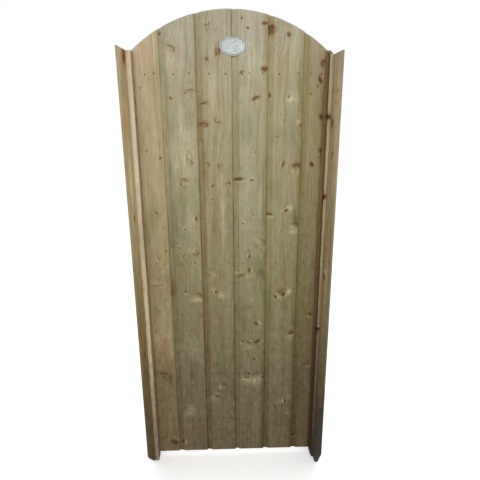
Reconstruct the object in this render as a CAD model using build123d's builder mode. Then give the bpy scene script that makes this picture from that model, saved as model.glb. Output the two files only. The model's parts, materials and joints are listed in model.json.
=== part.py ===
from build123d import *
import math
import os

# Arched side gate: a boarded, ledged and braced leaf between two feathered jamb boards.
# X runs from the hinge jamb to the latch jamb, Y from the boarded front to the back, Z up.
# The origin is on the outer face of the hinge jamb, at its foot, level with the leaf's front.

# Jamb boards: the outer face is flat, the inner face is feathered towards the front edge
gate_width = 722.0
hinge_jamb_top_drop = 6.0
latch_jamb_top_drop = 20.0
jamb_front_reach = 142.0
jamb_back_reach = 78.0
jamb_front_edge = 6.0
jamb_back_edge = 18.0
hinge_foot_cut_depth = 84.0
hinge_foot_cut_height = 118.0
latch_foot_cut_depth = 62.0
latch_foot_cut_height = 108.0
foot_rounding = 26.0

# Stops: sawn battens on the jambs, in front of the leaf
stop_depth = 38.0
stop_gap = 7.0
hinge_stop_width = 15.0
hinge_stop_bevel = 2.0
latch_stop_front_width = 12.0
latch_stop_back_width = 17.0
latch_stop_wane_depth = 26.0

# Leaf
ground_clearance = 18.0
leaf_height = 1800.0
arch_rise = 130.0
hinge_side_gap = 5.5
latch_side_gap = 5.0

# Boards: a square front lap over a thinner lip, with a cove beside the joint
board_thickness = 16.0
board_lip_thickness = 10.0
first_board_cover = 93.0
board_pitch = 126.0
least_last_cover = 30.0
lap_width = 10.0
lap_gap = 1.0
cove_width = 24.0
cove_flat = 2.0

# Ledges and braces behind the boards
ledge_thickness = 22.0
ledge_width = 100.0
ledge_weathering = 8.0
top_ledge_drop = 76.0
middle_ledge_lift = 57.5
bottom_ledge_rise = 83.0
ledge_hinge_inset = 20.0
ledge_latch_inset = 8.0
brace_width = 75.0
brace_foot_inset = 54.0
brace_head_inset = 30.0

# Hinges: a strap with a rolled eye on each outer ledge, and a pin on a screwed plate
strap_thickness = 4.0
strap_eye_height = 34.0
strap_tip_height = 22.0
strap_length = 330.0
eye_clearance = 0.1
pin_radius = 6.0
pin_top_projection = 8.0
pin_shoulder_gap = 1.0
lug_thickness = 14.0
lug_width = 14.0
plate_thickness = 5.0
plate_height = 110.0
plate_width = 44.0
plate_back_margin = 4.0
plate_corner = 6.0
eye_plate_gap = 5.2

# Oval plate on the boards near the head of the arch
oval_width = 96.0
oval_height = 62.0
oval_thickness = 2.0
oval_offset = 12.0
oval_drop = 117.0

# Worked out from the sizes above
jamb_depth = jamb_front_reach + jamb_back_reach
jamb_slope = (jamb_back_edge - jamb_front_edge) / jamb_depth
leaf_back = board_thickness + ledge_thickness
leaf_top = ground_clearance + leaf_height
leaf_shoulder = leaf_top - arch_rise
hinge_jamb_height = leaf_shoulder - hinge_jamb_top_drop
latch_jamb_height = leaf_shoulder - latch_jamb_top_drop
top_ledge_height = leaf_shoulder - top_ledge_drop
bottom_ledge_height = ground_clearance + bottom_ledge_rise
middle_ledge_height = (top_ledge_height + bottom_ledge_height) / 2 + middle_ledge_lift
eye_bore_radius = pin_radius + eye_clearance
eye_radius = eye_bore_radius + strap_thickness
pin_y = leaf_back + eye_radius


def jamb_face(depth):
    """Thickness of a jamb board at a depth, which is where its inner face stands."""
    return jamb_front_edge + jamb_slope * (depth + jamb_front_reach)


pin_x = jamb_face(pin_y) + plate_thickness + eye_plate_gap + eye_radius
leaf_hinge_edge = jamb_face(board_thickness) + hinge_side_gap

# The front corner of the latch edge swings out past its closed place as the leaf opens
swing_radius = gate_width - jamb_face(pin_y) - latch_side_gap - pin_x
leaf_latch_edge = pin_x + math.sqrt(swing_radius**2 - pin_y**2)
ledge_start = leaf_hinge_edge + ledge_hinge_inset
ledge_end = leaf_latch_edge - ledge_latch_inset

os.makedirs("parts", exist_ok=True)


# Jamb boards


def jamb_board(mirrored, height, cut_depth, cut_height):
    """A feathered board on edge, its lower front corner cut away and rounded."""
    with BuildPart() as jamb:
        with BuildSketch(Plane.XY):
            with BuildLine():
                Polyline(
                    (0, -jamb_front_reach),
                    (jamb_front_edge, -jamb_front_reach),
                    (jamb_back_edge, jamb_back_reach),
                    (0, jamb_back_reach),
                    close=True,
                )
            make_face()
        extrude(amount=height)
        with BuildSketch(Plane.YZ):
            with BuildLine():
                Polyline(
                    (-jamb_front_reach + cut_depth, 0),
                    (jamb_back_reach, 0),
                    (jamb_back_reach, height),
                    (-jamb_front_reach, height),
                    (-jamb_front_reach, cut_height),
                    close=True,
                )
            make_face()
            cut_corners = vertices().sort_by_distance((-jamb_front_reach, 0, 0))[:2]
            fillet(cut_corners, radius=foot_rounding)
        extrude(amount=jamb_back_edge, mode=Mode.INTERSECT)
    if not mirrored:
        return jamb.part
    with BuildPart() as other_hand:
        add(mirror(jamb.part, about=Plane.YZ.offset(gate_width / 2)))
    return other_hand.part


hinge_jamb = jamb_board(False, hinge_jamb_height, hinge_foot_cut_depth, hinge_foot_cut_height)
hinge_jamb.label = "hinge_jamb"
export_step(hinge_jamb, "parts/hinge_jamb.step")

latch_jamb = jamb_board(True, latch_jamb_height, latch_foot_cut_depth, latch_foot_cut_height)
latch_jamb.label = "latch_jamb"
export_step(latch_jamb, "parts/latch_jamb.step")


# Stops

stop_back_y = -stop_gap
stop_front_y = stop_back_y - stop_depth

with BuildPart() as hinge_stop:
    with BuildSketch(Plane.XY):
        with BuildLine():
            inner_face = jamb_face(stop_back_y) + hinge_stop_width
            Polyline(
                (jamb_face(stop_front_y), stop_front_y),
                (inner_face - hinge_stop_bevel, stop_front_y),
                (inner_face, stop_front_y + hinge_stop_bevel),
                (inner_face, stop_back_y),
                (jamb_face(stop_back_y), stop_back_y),
                close=True,
            )
        make_face()
    extrude(amount=hinge_jamb_height)
hinge_stop.part.label = "hinge_stop"
export_step(hinge_stop.part, "parts/hinge_stop.step")

# The latch stop is waney: its inner front corner falls away along the bark side
with BuildPart() as latch_stop:
    with BuildSketch(Plane.XY):
        with BuildLine():
            front_face_x = gate_width - jamb_face(stop_front_y)
            back_face_x = gate_width - jamb_face(stop_back_y)
            Polyline(
                (front_face_x, stop_front_y),
                (front_face_x - latch_stop_front_width, stop_front_y),
                (back_face_x - latch_stop_back_width, stop_front_y + latch_stop_wane_depth),
                (back_face_x - latch_stop_back_width, stop_back_y),
                (back_face_x, stop_back_y),
                close=True,
            )
        make_face()
    extrude(amount=latch_jamb_height)
latch_stop.part.label = "latch_stop"
export_step(latch_stop.part, "parts/latch_stop.step")


# Boards

with BuildSketch(Plane.XZ) as leaf_outline:
    with BuildLine():
        Line((leaf_hinge_edge, leaf_shoulder), (leaf_hinge_edge, ground_clearance))
        Line((leaf_hinge_edge, ground_clearance), (leaf_latch_edge, ground_clearance))
        Line((leaf_latch_edge, ground_clearance), (leaf_latch_edge, leaf_shoulder))
        ThreePointArc(
            (leaf_latch_edge, leaf_shoulder),
            ((leaf_hinge_edge + leaf_latch_edge) / 2, leaf_top),
            (leaf_hinge_edge, leaf_shoulder),
        )
    make_face()


def board_section(left, right, has_lip, has_lap):
    """Plan of one board: a coved lip on its left edge and a square lap on its right edge."""
    lip_face_y = board_thickness - board_lip_thickness
    with BuildSketch(Plane.XY.offset(ground_clearance)) as section:
        with BuildLine():
            if has_lip:
                lip_end = left - lap_width + lap_gap
                cove_start = (left + cove_flat, lip_face_y)
                cove_end = (left + cove_width, 0)
                TangentArc(cove_start, cove_end, tangent=(1, 0))
                Line((lip_end, lip_face_y), cove_start)
                Line((lip_end, board_thickness), (lip_end, lip_face_y))
                front_start = cove_end
                back_start = (lip_end, board_thickness)
            else:
                Line((left, board_thickness), (left, 0))
                front_start = (left, 0)
                back_start = (left, board_thickness)
            Line(front_start, (right, 0))
            if has_lap:
                Line((right, 0), (right, lip_face_y))
                Line((right, lip_face_y), (right - lap_width, lip_face_y))
                Line((right - lap_width, lip_face_y), (right - lap_width, board_thickness))
                Line((right - lap_width, board_thickness), back_start)
            else:
                Line((right, 0), (right, board_thickness))
                Line((right, board_thickness), back_start)
        make_face()
    return section.sketch


# The first and last boards are ripped to width, and whole boards fill the leaf between them
first_joint = leaf_hinge_edge + first_board_cover
whole_boards = int((leaf_latch_edge - first_joint - least_last_cover) // board_pitch)
joints = [first_joint + number * board_pitch for number in range(whole_boards + 1)]
board_edges = [leaf_hinge_edge, *joints, leaf_latch_edge]
board_count = len(board_edges) - 1

for number in range(board_count):
    with BuildPart() as board:
        section = board_section(
            board_edges[number],
            board_edges[number + 1],
            has_lip=number > 0,
            has_lap=number < board_count - 1,
        )
        extrude(section, amount=leaf_height)
        extrude(leaf_outline.sketch, amount=-board_thickness, mode=Mode.INTERSECT)
    board.part.label = f"board_{number + 1}"
    export_step(board.part, f"parts/board_{number + 1}.step")


# Ledges: each has its top edge weathered at the back, so that water runs off

ledge_heights = {
    "top_ledge": top_ledge_height,
    "middle_ledge": middle_ledge_height,
    "bottom_ledge": bottom_ledge_height,
}
for ledge_name, height in ledge_heights.items():
    with BuildPart() as ledge:
        with BuildSketch(Plane.YZ.offset(ledge_start)):
            with BuildLine():
                Polyline(
                    (board_thickness, height - ledge_width / 2),
                    (leaf_back, height - ledge_width / 2),
                    (leaf_back, height + ledge_width / 2 - ledge_weathering),
                    (leaf_back - ledge_weathering, height + ledge_width / 2),
                    (board_thickness, height + ledge_width / 2),
                    close=True,
                )
            make_face()
        extrude(amount=ledge_end - ledge_start)
    ledge.part.label = ledge_name
    export_step(ledge.part, f"parts/{ledge_name}.step")


# Braces: each rises from the hinge side to the latch side, between two ledges


def diagonal_brace(ledge_below, ledge_above):
    """A board on the slope between two ledges, trimmed at the ledges and at their ends."""
    foot_z = ledge_below + ledge_width / 2
    head_z = ledge_above - ledge_width / 2
    foot_x = ledge_start + brace_foot_inset
    head_x = ledge_end - brace_head_inset
    slope_angle = math.degrees(math.atan2(head_z - foot_z, head_x - foot_x))
    middle_z = (foot_z + head_z) / 2
    with BuildPart() as brace:
        with BuildSketch(Plane.XZ.offset(-board_thickness)):
            with Locations(((foot_x + head_x) / 2, middle_z)):
                Rectangle(2 * leaf_height, brace_width, rotation=slope_angle)
            with Locations(((ledge_start + ledge_end) / 2, middle_z)):
                Rectangle(ledge_end - ledge_start, head_z - foot_z, mode=Mode.INTERSECT)
        extrude(amount=-ledge_thickness)
    return brace.part


upper_brace = diagonal_brace(middle_ledge_height, top_ledge_height)
upper_brace.label = "upper_brace"
export_step(upper_brace, "parts/upper_brace.step")

lower_brace = diagonal_brace(bottom_ledge_height, middle_ledge_height)
lower_brace.label = "lower_brace"
export_step(lower_brace, "parts/lower_brace.step")


# Hinges: the strap lies on the ledge and its eye turns on the pin


def hinge_strap(height):
    """A tapered strap with a round tip, rolled into an eye at its hinge end."""
    with BuildPart() as strap:
        with BuildSketch(Plane.XZ.offset(-leaf_back)):
            tip_centre = pin_x + strap_length - strap_tip_height / 2
            with BuildLine():
                Polyline(
                    (pin_x, height - strap_eye_height / 2),
                    (tip_centre, height - strap_tip_height / 2),
                    (tip_centre, height + strap_tip_height / 2),
                    (pin_x, height + strap_eye_height / 2),
                    close=True,
                )
            make_face()
            with Locations((tip_centre, height)):
                Circle(strap_tip_height / 2)
        extrude(amount=-strap_thickness)
        with BuildSketch(Plane.XY.offset(height - strap_eye_height / 2)):
            with Locations((pin_x, pin_y)):
                Circle(eye_radius)
        extrude(amount=strap_eye_height)
        with BuildSketch(Plane.XY.offset(height - strap_eye_height / 2)):
            with Locations((pin_x, pin_y)):
                Circle(eye_bore_radius)
        extrude(amount=strap_eye_height, mode=Mode.SUBTRACT)
    return strap.part


def hinge_hook(height):
    """A plate on the jamb's inner face, with a lug that carries the upright pin."""
    eye_bottom = height - strap_eye_height / 2
    lug_top = eye_bottom - pin_shoulder_gap
    pin_top = height + strap_eye_height / 2 + pin_top_projection
    plate_back_y = jamb_back_reach - plate_back_margin
    plate_front_y = plate_back_y - plate_width
    with BuildPart() as hook:
        with BuildSketch(Plane.XY.offset(lug_top - plate_height / 2)):
            with BuildLine():
                Polyline(
                    (jamb_face(plate_front_y), plate_front_y),
                    (jamb_face(plate_front_y) + plate_thickness, plate_front_y),
                    (jamb_face(plate_back_y) + plate_thickness, plate_back_y),
                    (jamb_face(plate_back_y), plate_back_y),
                    close=True,
                )
            make_face()
        extrude(amount=plate_height)
        fillet(edges().filter_by(Axis.X), radius=plate_corner)
        with BuildSketch(Plane.XY.offset(lug_top - lug_thickness)):
            with BuildLine():
                lug_front = pin_y - lug_width / 2
                lug_back = pin_y + lug_width / 2
                Polyline(
                    (jamb_face(lug_front) + plate_thickness / 2, lug_front),
                    (pin_x, lug_front),
                    (pin_x, lug_back),
                    (jamb_face(lug_back) + plate_thickness / 2, lug_back),
                    close=True,
                )
            make_face()
            with Locations((pin_x, pin_y)):
                Circle(lug_width / 2)
        extrude(amount=lug_thickness)
        with BuildSketch(Plane.XY.offset(lug_top - lug_thickness)):
            with Locations((pin_x, pin_y)):
                Circle(pin_radius)
        extrude(amount=pin_top - lug_top + lug_thickness)
    return hook.part


hinge_heights = {"upper": top_ledge_height, "lower": bottom_ledge_height}
for place, height in hinge_heights.items():
    strap = hinge_strap(height)
    strap.label = f"{place}_strap"
    export_step(strap, f"parts/{place}_strap.step")
    hook = hinge_hook(height)
    hook.label = f"{place}_hook"
    export_step(hook, f"parts/{place}_hook.step")


# Oval plate

with BuildPart() as oval_plate:
    with BuildSketch(Plane.XZ):
        oval_x = (leaf_hinge_edge + leaf_latch_edge) / 2 + oval_offset
        with Locations((oval_x, leaf_top - oval_drop)):
            Ellipse(oval_width / 2, oval_height / 2)
    extrude(amount=oval_thickness)
oval_plate.part.label = "oval_plate"
export_step(oval_plate.part, "parts/oval_plate.step")
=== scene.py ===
import json
import math
import random

import bpy
import numpy as np
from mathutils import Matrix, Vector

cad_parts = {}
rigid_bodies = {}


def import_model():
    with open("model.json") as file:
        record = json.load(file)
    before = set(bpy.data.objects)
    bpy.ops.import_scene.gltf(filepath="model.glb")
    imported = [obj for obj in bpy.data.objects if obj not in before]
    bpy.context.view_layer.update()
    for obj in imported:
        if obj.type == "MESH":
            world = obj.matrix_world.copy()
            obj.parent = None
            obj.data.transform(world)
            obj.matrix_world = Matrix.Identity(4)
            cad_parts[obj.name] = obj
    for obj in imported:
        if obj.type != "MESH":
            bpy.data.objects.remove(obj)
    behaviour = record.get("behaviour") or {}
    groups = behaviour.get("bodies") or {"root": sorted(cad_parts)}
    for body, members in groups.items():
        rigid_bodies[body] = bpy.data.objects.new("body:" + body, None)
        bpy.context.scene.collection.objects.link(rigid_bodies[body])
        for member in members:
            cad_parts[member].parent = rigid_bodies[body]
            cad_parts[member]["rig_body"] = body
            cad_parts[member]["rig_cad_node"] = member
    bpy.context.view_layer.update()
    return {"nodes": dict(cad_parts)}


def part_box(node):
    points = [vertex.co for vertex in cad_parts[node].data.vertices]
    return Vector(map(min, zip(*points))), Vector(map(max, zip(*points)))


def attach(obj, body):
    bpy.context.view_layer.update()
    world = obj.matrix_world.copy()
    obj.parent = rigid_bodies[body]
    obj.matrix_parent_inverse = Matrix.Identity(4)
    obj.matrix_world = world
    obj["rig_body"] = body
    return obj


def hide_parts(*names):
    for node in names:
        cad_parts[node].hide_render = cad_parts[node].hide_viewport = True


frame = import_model()


# Boards: planed, pressure-treated softwood, six of them edge to edge in the leaf.
# Each has a coved lip that slips behind the square edge of the board on its left, and
# all six are cut to one arch after they are nailed to the ledges.

LEAF_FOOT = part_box("board_1")[0].z
LEAF_TOP = max(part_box(f"board_{number}")[1].z for number in range(1, 7))
LEAF_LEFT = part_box("board_1")[0].x
LEAF_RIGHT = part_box("board_6")[1].x
LEAF_MIDDLE = (LEAF_LEFT + LEAF_RIGHT) / 2
ARCH_RISE = 0.130
ARCH_RADIUS = ((LEAF_RIGHT - LEAF_MIDDLE) ** 2 + ARCH_RISE**2) / (2 * ARCH_RISE)
BOARD_THICKNESS = 0.016
COVE_DEPTH = 0.006
LAP_WIDTH = 0.010
LAP_GAP = 0.001
COVE_FLAT = 0.002
COVE_WIDTH = 0.024
BOARD_ARRIS = 0.0011
FACE_INSET = 0.00045
CUP_DEPTH = 0.00025
KNOT_SWELL = 0.00030
KNOT_GROOVE = 0.00045
CLEAR_KNOT = 0.3


def fine_stops(start, end, step, close=()):
    """Stations from start to end, set closer together round the places listed in close."""
    smallest = 0.00025
    stops = [start]
    while stops[-1] < end - smallest:
        at = stops[-1]
        ahead = at + step
        for place, reach, fine in close:
            if place - reach <= at + smallest / 2 < place + reach:
                ahead = min(ahead, at + fine)
        nearest = min(ahead, end)
        for place, reach, _ in close:
            if at + smallest < place - reach < ahead:
                nearest = min(nearest, place - reach)
        stops.append(nearest)
    stops[-1] = end
    return np.array(stops)


def slow_wave(values, seed, longest):
    """A smooth wander along a timber, from a few sines that don't repeat together."""
    chance = random.Random(seed)
    total = np.zeros_like(values)
    for _ in range(4):
        length = longest * chance.uniform(0.25, 1.0)
        strength = chance.uniform(0.4, 1.0)
        start = chance.uniform(0, math.tau)
        total += strength * np.sin(values * math.tau / length + start)
    return total / 2.2


def eased(from_edge, radius):
    """How far an eased arris falls back, at a distance from its edge."""
    return radius - np.sqrt(np.maximum(0, radius**2 - np.maximum(0, radius - from_edge) ** 2))


def knot_marks(across, along, knots):
    """How the grain bends round the knots, and how each point lies to its nearest knot.

    near is how far out it is, in half widths of the knot, dark how dark the knot is, lean
    on which side of it the point is, and trail how much it stains the grain in line.
    """
    bend = np.zeros_like(across)
    near = np.full_like(across, 4.0)
    dark = np.zeros_like(across)
    lean = np.zeros_like(across)
    trail = np.zeros_like(across)
    for place_across, place_along, wide, tall, darkness in knots:
        dx = across - place_across
        dz = along - place_along
        reach = max(wide, 0.006) * 0.62
        slope = (dz / (2.6 * reach)) ** 2
        bend -= dx * np.exp(-slope) * reach**2 / (dx**2 + 0.35 * reach**2) * 0.75
        turn = 0.45 * math.sin(place_along * 91.0 + place_across * 57.0)
        along_dip = dx * math.cos(turn) + dz * math.sin(turn)
        over_dip = dz * math.cos(turn) - dx * math.sin(turn)
        away = np.sqrt((along_dip / (wide / 2)) ** 2 + (over_dip / (tall / 2)) ** 2) + 0.0001
        side = place_along * 173.0 + place_across * 311.0
        facing = (dx * math.cos(side) / (wide / 2) + dz * math.sin(side) / (tall / 2)) / away
        dark = np.where(away < near, darkness, dark)
        lean = np.where(away < near, facing, lean)
        near = np.minimum(near, away)
        streak = np.exp(-((dx / (wide * 0.55)) ** 2)) * np.exp(-np.abs(dz) / (tall * 3.2))
        trail = np.maximum(trail, streak * (0.35 + 0.65 * darkness))
    return bend, near, dark, lean, trail


def add_layer(mesh, label, values):
    """One value for each point of a timber, which its finish reads by its label."""
    layer = mesh.attributes.new(label, "FLOAT", "POINT")
    layer.data.foreach_set("value", values.astype(np.float32))


def plank(
    name,
    across,
    front,
    back,
    low,
    high,
    steps,
    place,
    knots=(),
    marks=(),
    seed=0,
    pith=(0.0, 0.03),
    ease=0.0012,
    turned=False,
    plain="back",
    thin=2,
):
    """One timber from a grid on its front and back, closed along its edges and at its ends.

    across lists the places over its width. front and back give its thickness there, and
    low and high where its ends are. place turns (across, depth, along) into a point, and
    turned says that it does so left for right. The plain side keeps one station in thin.
    """
    count = len(across)
    rows = len(steps)
    grids = {"front": np.zeros((count, rows, 3)), "back": np.zeros((count, rows, 3))}
    for column, at in enumerate(across):
        start, end = low(at), high(at)
        along = start + steps * (end - start)
        near_end = np.minimum(along - start, end - along)
        round_end = eased(near_end, ease)
        level = np.full(rows, at)
        grids["front"][column] = np.stack([level, front(at, along) + round_end, along], 1)
        grids["back"][column] = np.stack([level, back(at, along) - round_end, along], 1)
    jumps = np.abs(np.diff(grids[plain][:, rows // 2, 1])) > 0.0006
    jumps = {int(column) + side for column in np.flatnonzero(jumps) for side in (0, 1)}
    few_columns = sorted({0, count - 1, *range(0, count, thin), *jumps})
    few_rows = sorted({0, 1, 2, rows - 3, rows - 2, rows - 1, *range(0, rows, thin)})
    spots = []
    index = {}
    kept = {}
    for side, grid in grids.items():
        columns = few_columns if side == plain else list(range(count))
        lines = few_rows if side == plain else list(range(rows))
        kept[side] = (columns, lines)
        for column in columns:
            for row in lines:
                index[side, column, row] = len(spots)
                spots.append(grid[column, row])
    spots = np.array(spots)

    faces = []
    for side, (columns, lines) in kept.items():
        for left_column, right_column in zip(columns, columns[1:]):
            for row, next_row in zip(lines, lines[1:]):
                face = (
                    index[side, left_column, row],
                    index[side, right_column, row],
                    index[side, right_column, next_row],
                    index[side, left_column, next_row],
                )
                faces.append(face if side == "front" else face[::-1])

    def closing(first, second):
        """A face between two runs of points that share their ends."""
        return (second[0], *first, *reversed(second[1:]))

    for row in (0, rows - 1):
        for low_column, high_column in zip(few_columns, few_columns[1:]):
            runs = []
            for side in ("front", "back"):
                between = [at for at in kept[side][0] if low_column <= at <= high_column]
                runs.append([index[side, at, row] for at in between])
            faces.append(closing(runs[1], runs[0]) if row == 0 else closing(runs[0], runs[1]))
    for column in (0, count - 1):
        for low_row, high_row in zip(few_rows, few_rows[1:]):
            runs = []
            for side in ("front", "back"):
                between = [at for at in kept[side][1] if low_row <= at <= high_row]
                runs.append([index[side, column, at] for at in between])
            faces.append(closing(runs[0], runs[1]) if column == 0 else closing(runs[1], runs[0]))
    if turned:
        faces = [tuple(reversed(face)) for face in faces]
    mesh = bpy.data.meshes.new(name)
    mesh.from_pydata([tuple(place(*spot)) for spot in spots], [], faces)
    mesh.validate()
    bend, near, dark, lean, trail = knot_marks(spots[:, 0], spots[:, 2], knots)
    kinds = {kind: np.zeros(len(spots)) for kind in ("pale", "olive", "red")}
    for kind, place_across, place_along, wide, tall, strength in marks:
        dx = spots[:, 0] - place_across
        dz = spots[:, 2] - place_along
        cover = strength * np.exp(-((dx / (wide * 0.6)) ** 2) - (dz / (tall * 0.6)) ** 2)
        kinds[kind] = np.maximum(kinds[kind], cover)
        if tall < 0.06:
            bend -= dx * 0.55 * np.exp(-((dx / wide) ** 2) - (dz / (tall * 1.6)) ** 2)
    chance = random.Random(seed)
    wander = slow_wave(spots[:, 2], seed + 11, 2.6) * 0.010
    grain = np.stack(
        [
            spots[:, 0] - pith[0] + bend + wander,
            spots[:, 1] + pith[1] + slow_wave(spots[:, 2], seed + 5, 1.9) * 0.012,
            spots[:, 2] + chance.uniform(0, 40),
        ],
        1,
    )
    layer = mesh.attributes.new("grain", "FLOAT_VECTOR", "POINT")
    layer.data.foreach_set("vector", grain.astype(np.float32).ravel())
    shades = {"knot": near, "dark": dark, "lean": lean, "trail": trail, **kinds}
    for label, values in shades.items():
        add_layer(mesh, label, values)
    piece = bpy.data.objects.new(name, mesh)
    bpy.context.scene.collection.objects.link(piece)
    mesh.shade_smooth()
    smooth_edges = piece.modifiers.new("arris", "EDGE_SPLIT")
    smooth_edges.split_angle = math.radians(38)
    return piece


def softwood(
    name,
    deep,
    heights,
    tint,
    knot_colour,
    stain_colour,
    cove_shade_and_algae_colour=(1.0, 1.0, 1.0),
    foot_shade_and_damp_in_cove=0.0,
    side_shade_colours=None,
    front_edge_shade=None,
    grey=0.2,
    rings=0.0042,
    contrast=1.0,
    rough=0.86,
):
    """Softwood with growth rings, fibres, knots, broad stains, and painted shade at its foot.

    heights gives its colour from the foot up, darker towards the foot with painted shade and
    some wet staining, and deep the colour of its late wood. The two side colours are painted
    shade on its sides at the front and further back, the front colour painted shade on its
    edge towards the front, and rings the distance from ring to ring.
    """
    material = bpy.data.materials.new(name)
    material.use_nodes = True
    nodes = material.node_tree.nodes
    links = material.node_tree.links
    nodes.clear()
    output = nodes.new("ShaderNodeOutputMaterial")
    surface = nodes.new("ShaderNodeBsdfPrincipled")
    surface.inputs["Specular IOR Level"].default_value = 0.25
    links.new(surface.outputs["BSDF"], output.inputs["Surface"])

    def attribute(label, vector=False):
        node = nodes.new("ShaderNodeAttribute")
        node.attribute_name = label
        return node.outputs["Vector" if vector else "Fac"]

    def calc(kind, first, second=None):
        node = nodes.new("ShaderNodeMath")
        node.operation = kind
        for slot, value in enumerate((first, second)):
            if value is None:
                continue
            if isinstance(value, (int, float)):
                node.inputs[slot].default_value = value
            else:
                links.new(value, node.inputs[slot])
        return node.outputs[0]

    def times(first, second):
        return calc("MULTIPLY", first, second)

    def stretched(vector, scale):
        node = nodes.new("ShaderNodeMapping")
        node.inputs["Scale"].default_value = scale
        links.new(vector, node.inputs["Vector"])
        return node.outputs["Vector"]

    def cloud(vector, scale, detail=2.0, roughness=0.5):
        node = nodes.new("ShaderNodeTexNoise")
        node.inputs["Scale"].default_value = scale
        node.inputs["Detail"].default_value = detail
        node.inputs["Roughness"].default_value = roughness
        links.new(vector, node.inputs["Vector"])
        return node.outputs["Fac"]

    def span(value, low, high, to_low=0.0, to_high=1.0):
        node = nodes.new("ShaderNodeMapRange")
        node.interpolation_type = "SMOOTHSTEP"
        node.inputs["From Min"].default_value = low
        node.inputs["From Max"].default_value = high
        node.inputs["To Min"].default_value = to_low
        node.inputs["To Max"].default_value = to_high
        links.new(value, node.inputs["Value"])
        return node.outputs["Result"]

    def blend(factor, first, second, kind="MIX"):
        node = nodes.new("ShaderNodeMix")
        node.data_type = "RGBA"
        node.blend_type = kind
        if isinstance(factor, (int, float)):
            node.inputs["Factor"].default_value = factor
        else:
            links.new(factor, node.inputs["Factor"])
        for socket, value in ((node.inputs[6], first), (node.inputs[7], second)):
            if isinstance(value, tuple):
                socket.default_value = (*value, 1.0)
            else:
                links.new(value, socket)
        return node.outputs[2]

    def stained(cover, under, colour):
        return blend(cover, under, colour, "MULTIPLY")

    def ramp(value, stops):
        node = nodes.new("ShaderNodeValToRGB")
        node.color_ramp.interpolation = "LINEAR"
        elements = node.color_ramp.elements
        while len(elements) < len(stops):
            elements.new(0.5)
        for element, (position, colour) in zip(elements, stops):
            element.position = position
            element.color = (*colour, 1.0)
        links.new(value, node.inputs["Fac"])
        return node.outputs["Color"]

    grain = attribute("grain", vector=True)
    lean = attribute("lean")
    trail = attribute("trail")
    cove_shade_and_algae = attribute("cove_shade_and_algae")
    knot = attribute("knot")
    darkness = attribute("dark")
    place = nodes.new("ShaderNodeTexCoord").outputs["Object"]
    grain_parts = nodes.new("ShaderNodeSeparateXYZ")
    links.new(grain, grain_parts.inputs[0])
    across, depth, _ = grain_parts.outputs
    place_parts = nodes.new("ShaderNodeSeparateXYZ")
    links.new(place, place_parts.inputs[0])
    _, back, up = place_parts.outputs

    slow = cloud(stretched(grain, (9.0, 9.0, 1.3)), 1.0, 1.0)
    quick = cloud(stretched(grain, (60.0, 60.0, 5.0)), 1.0, 3.0, 0.6)
    distance = calc("SQRT", calc("ADD", calc("POWER", across, 2.0), calc("POWER", depth, 2.0)))
    distance = calc("ADD", distance, times(calc("SUBTRACT", slow, 0.5), 0.034))
    distance = calc("ADD", distance, times(calc("SUBTRACT", quick, 0.5), 0.0024))
    ring_phase = calc("FRACT", calc("DIVIDE", distance, rings))
    ring_stops = ((0.0, 0.0), (0.35, 0.10), (0.78, 0.62), (0.90, 1.0), (1.0, 0.0))
    late = ramp(ring_phase, [(position, (level,) * 3) for position, level in ring_stops])
    clarity = cloud(stretched(grain, (30.0, 30.0, 1.6)), 1.0, 1.0)
    late = times(late, span(clarity, 0.35, 0.65, 0.15, 1.0))
    fibre = cloud(stretched(grain, (1500.0, 1500.0, 22.0)), 1.0, 2.0, 0.6)
    streak = cloud(stretched(grain, (230.0, 230.0, 2.6)), 1.0, 3.0, 0.55)
    band = cloud(stretched(grain, (52.0, 52.0, 0.9)), 1.0, 1.5, 0.5)
    patch = cloud(stretched(grain, (15.0, 15.0, 4.2)), 1.0, 2.5, 0.55)
    warm = cloud(stretched(grain, (19.0, 19.0, 2.6)), 2.3, 2.0, 0.5)
    fleck = cloud(stretched(grain, (700.0, 700.0, 90.0)), 1.0, 1.0)

    height = calc("ADD", up, times(calc("SUBTRACT", patch, 0.5), 0.34))
    height = calc("ADD", height, times(calc("SUBTRACT", streak, 0.5), 0.14))
    base = ramp(calc("DIVIDE", height, 1.9), heights)
    base = stained(1.0, base, tint)
    base = stained(span(patch, 0.52, 0.70, 0.0, grey), base, stain_colour)
    base = stained(span(warm, 0.52, 0.74, 0.0, 0.75), base, (1.07, 0.97, 0.86))
    base = stained(span(patch, 0.46, 0.30, 0.0, 0.80), base, (1.13, 1.14, 1.20))
    base = stained(span(band, 0.52, 0.72, 0.0, 0.80 * contrast), base, (0.86, 0.83, 0.72))
    base = stained(span(band, 0.46, 0.28, 0.0, 0.70 * contrast), base, (1.10, 1.10, 1.12))
    base = stained(times(late, 0.42 * contrast), base, deep)
    base = stained(span(streak, 0.52, 0.74, 0.0, 0.62 * contrast), base, deep)
    base = stained(span(streak, 0.46, 0.24, 0.0, 0.60 * contrast), base, (1.12, 1.12, 1.14))
    base = stained(span(fibre, 0.42, 0.72, 0.0, 0.45), base, deep)
    mottle = cloud(stretched(place, (46.0, 46.0, 30.0)), 1.0, 4.0, 0.66)
    towards_foot = span(up, 1.35, 0.25, 0.32, 1.0)
    dull = times(span(mottle, 0.52, 0.66), towards_foot)
    base = stained(times(dull, 0.75), base, (0.66, 0.62, 0.50))
    bright = times(span(mottle, 0.46, 0.34), towards_foot)
    base = stained(times(bright, 0.80), base, (1.26, 1.30, 1.36))
    speck = cloud(stretched(place, (260.0, 260.0, 190.0)), 1.0, 2.0, 0.5)
    specked = times(span(speck, 0.62, 0.72), times(towards_foot, 0.55))
    base = stained(specked, base, (0.52, 0.46, 0.36))
    # Cove and the band beside each joint: painted shade, with some algae in the groove
    base = stained(times(cove_shade_and_algae, 0.85), base, cove_shade_and_algae_colour)
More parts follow.
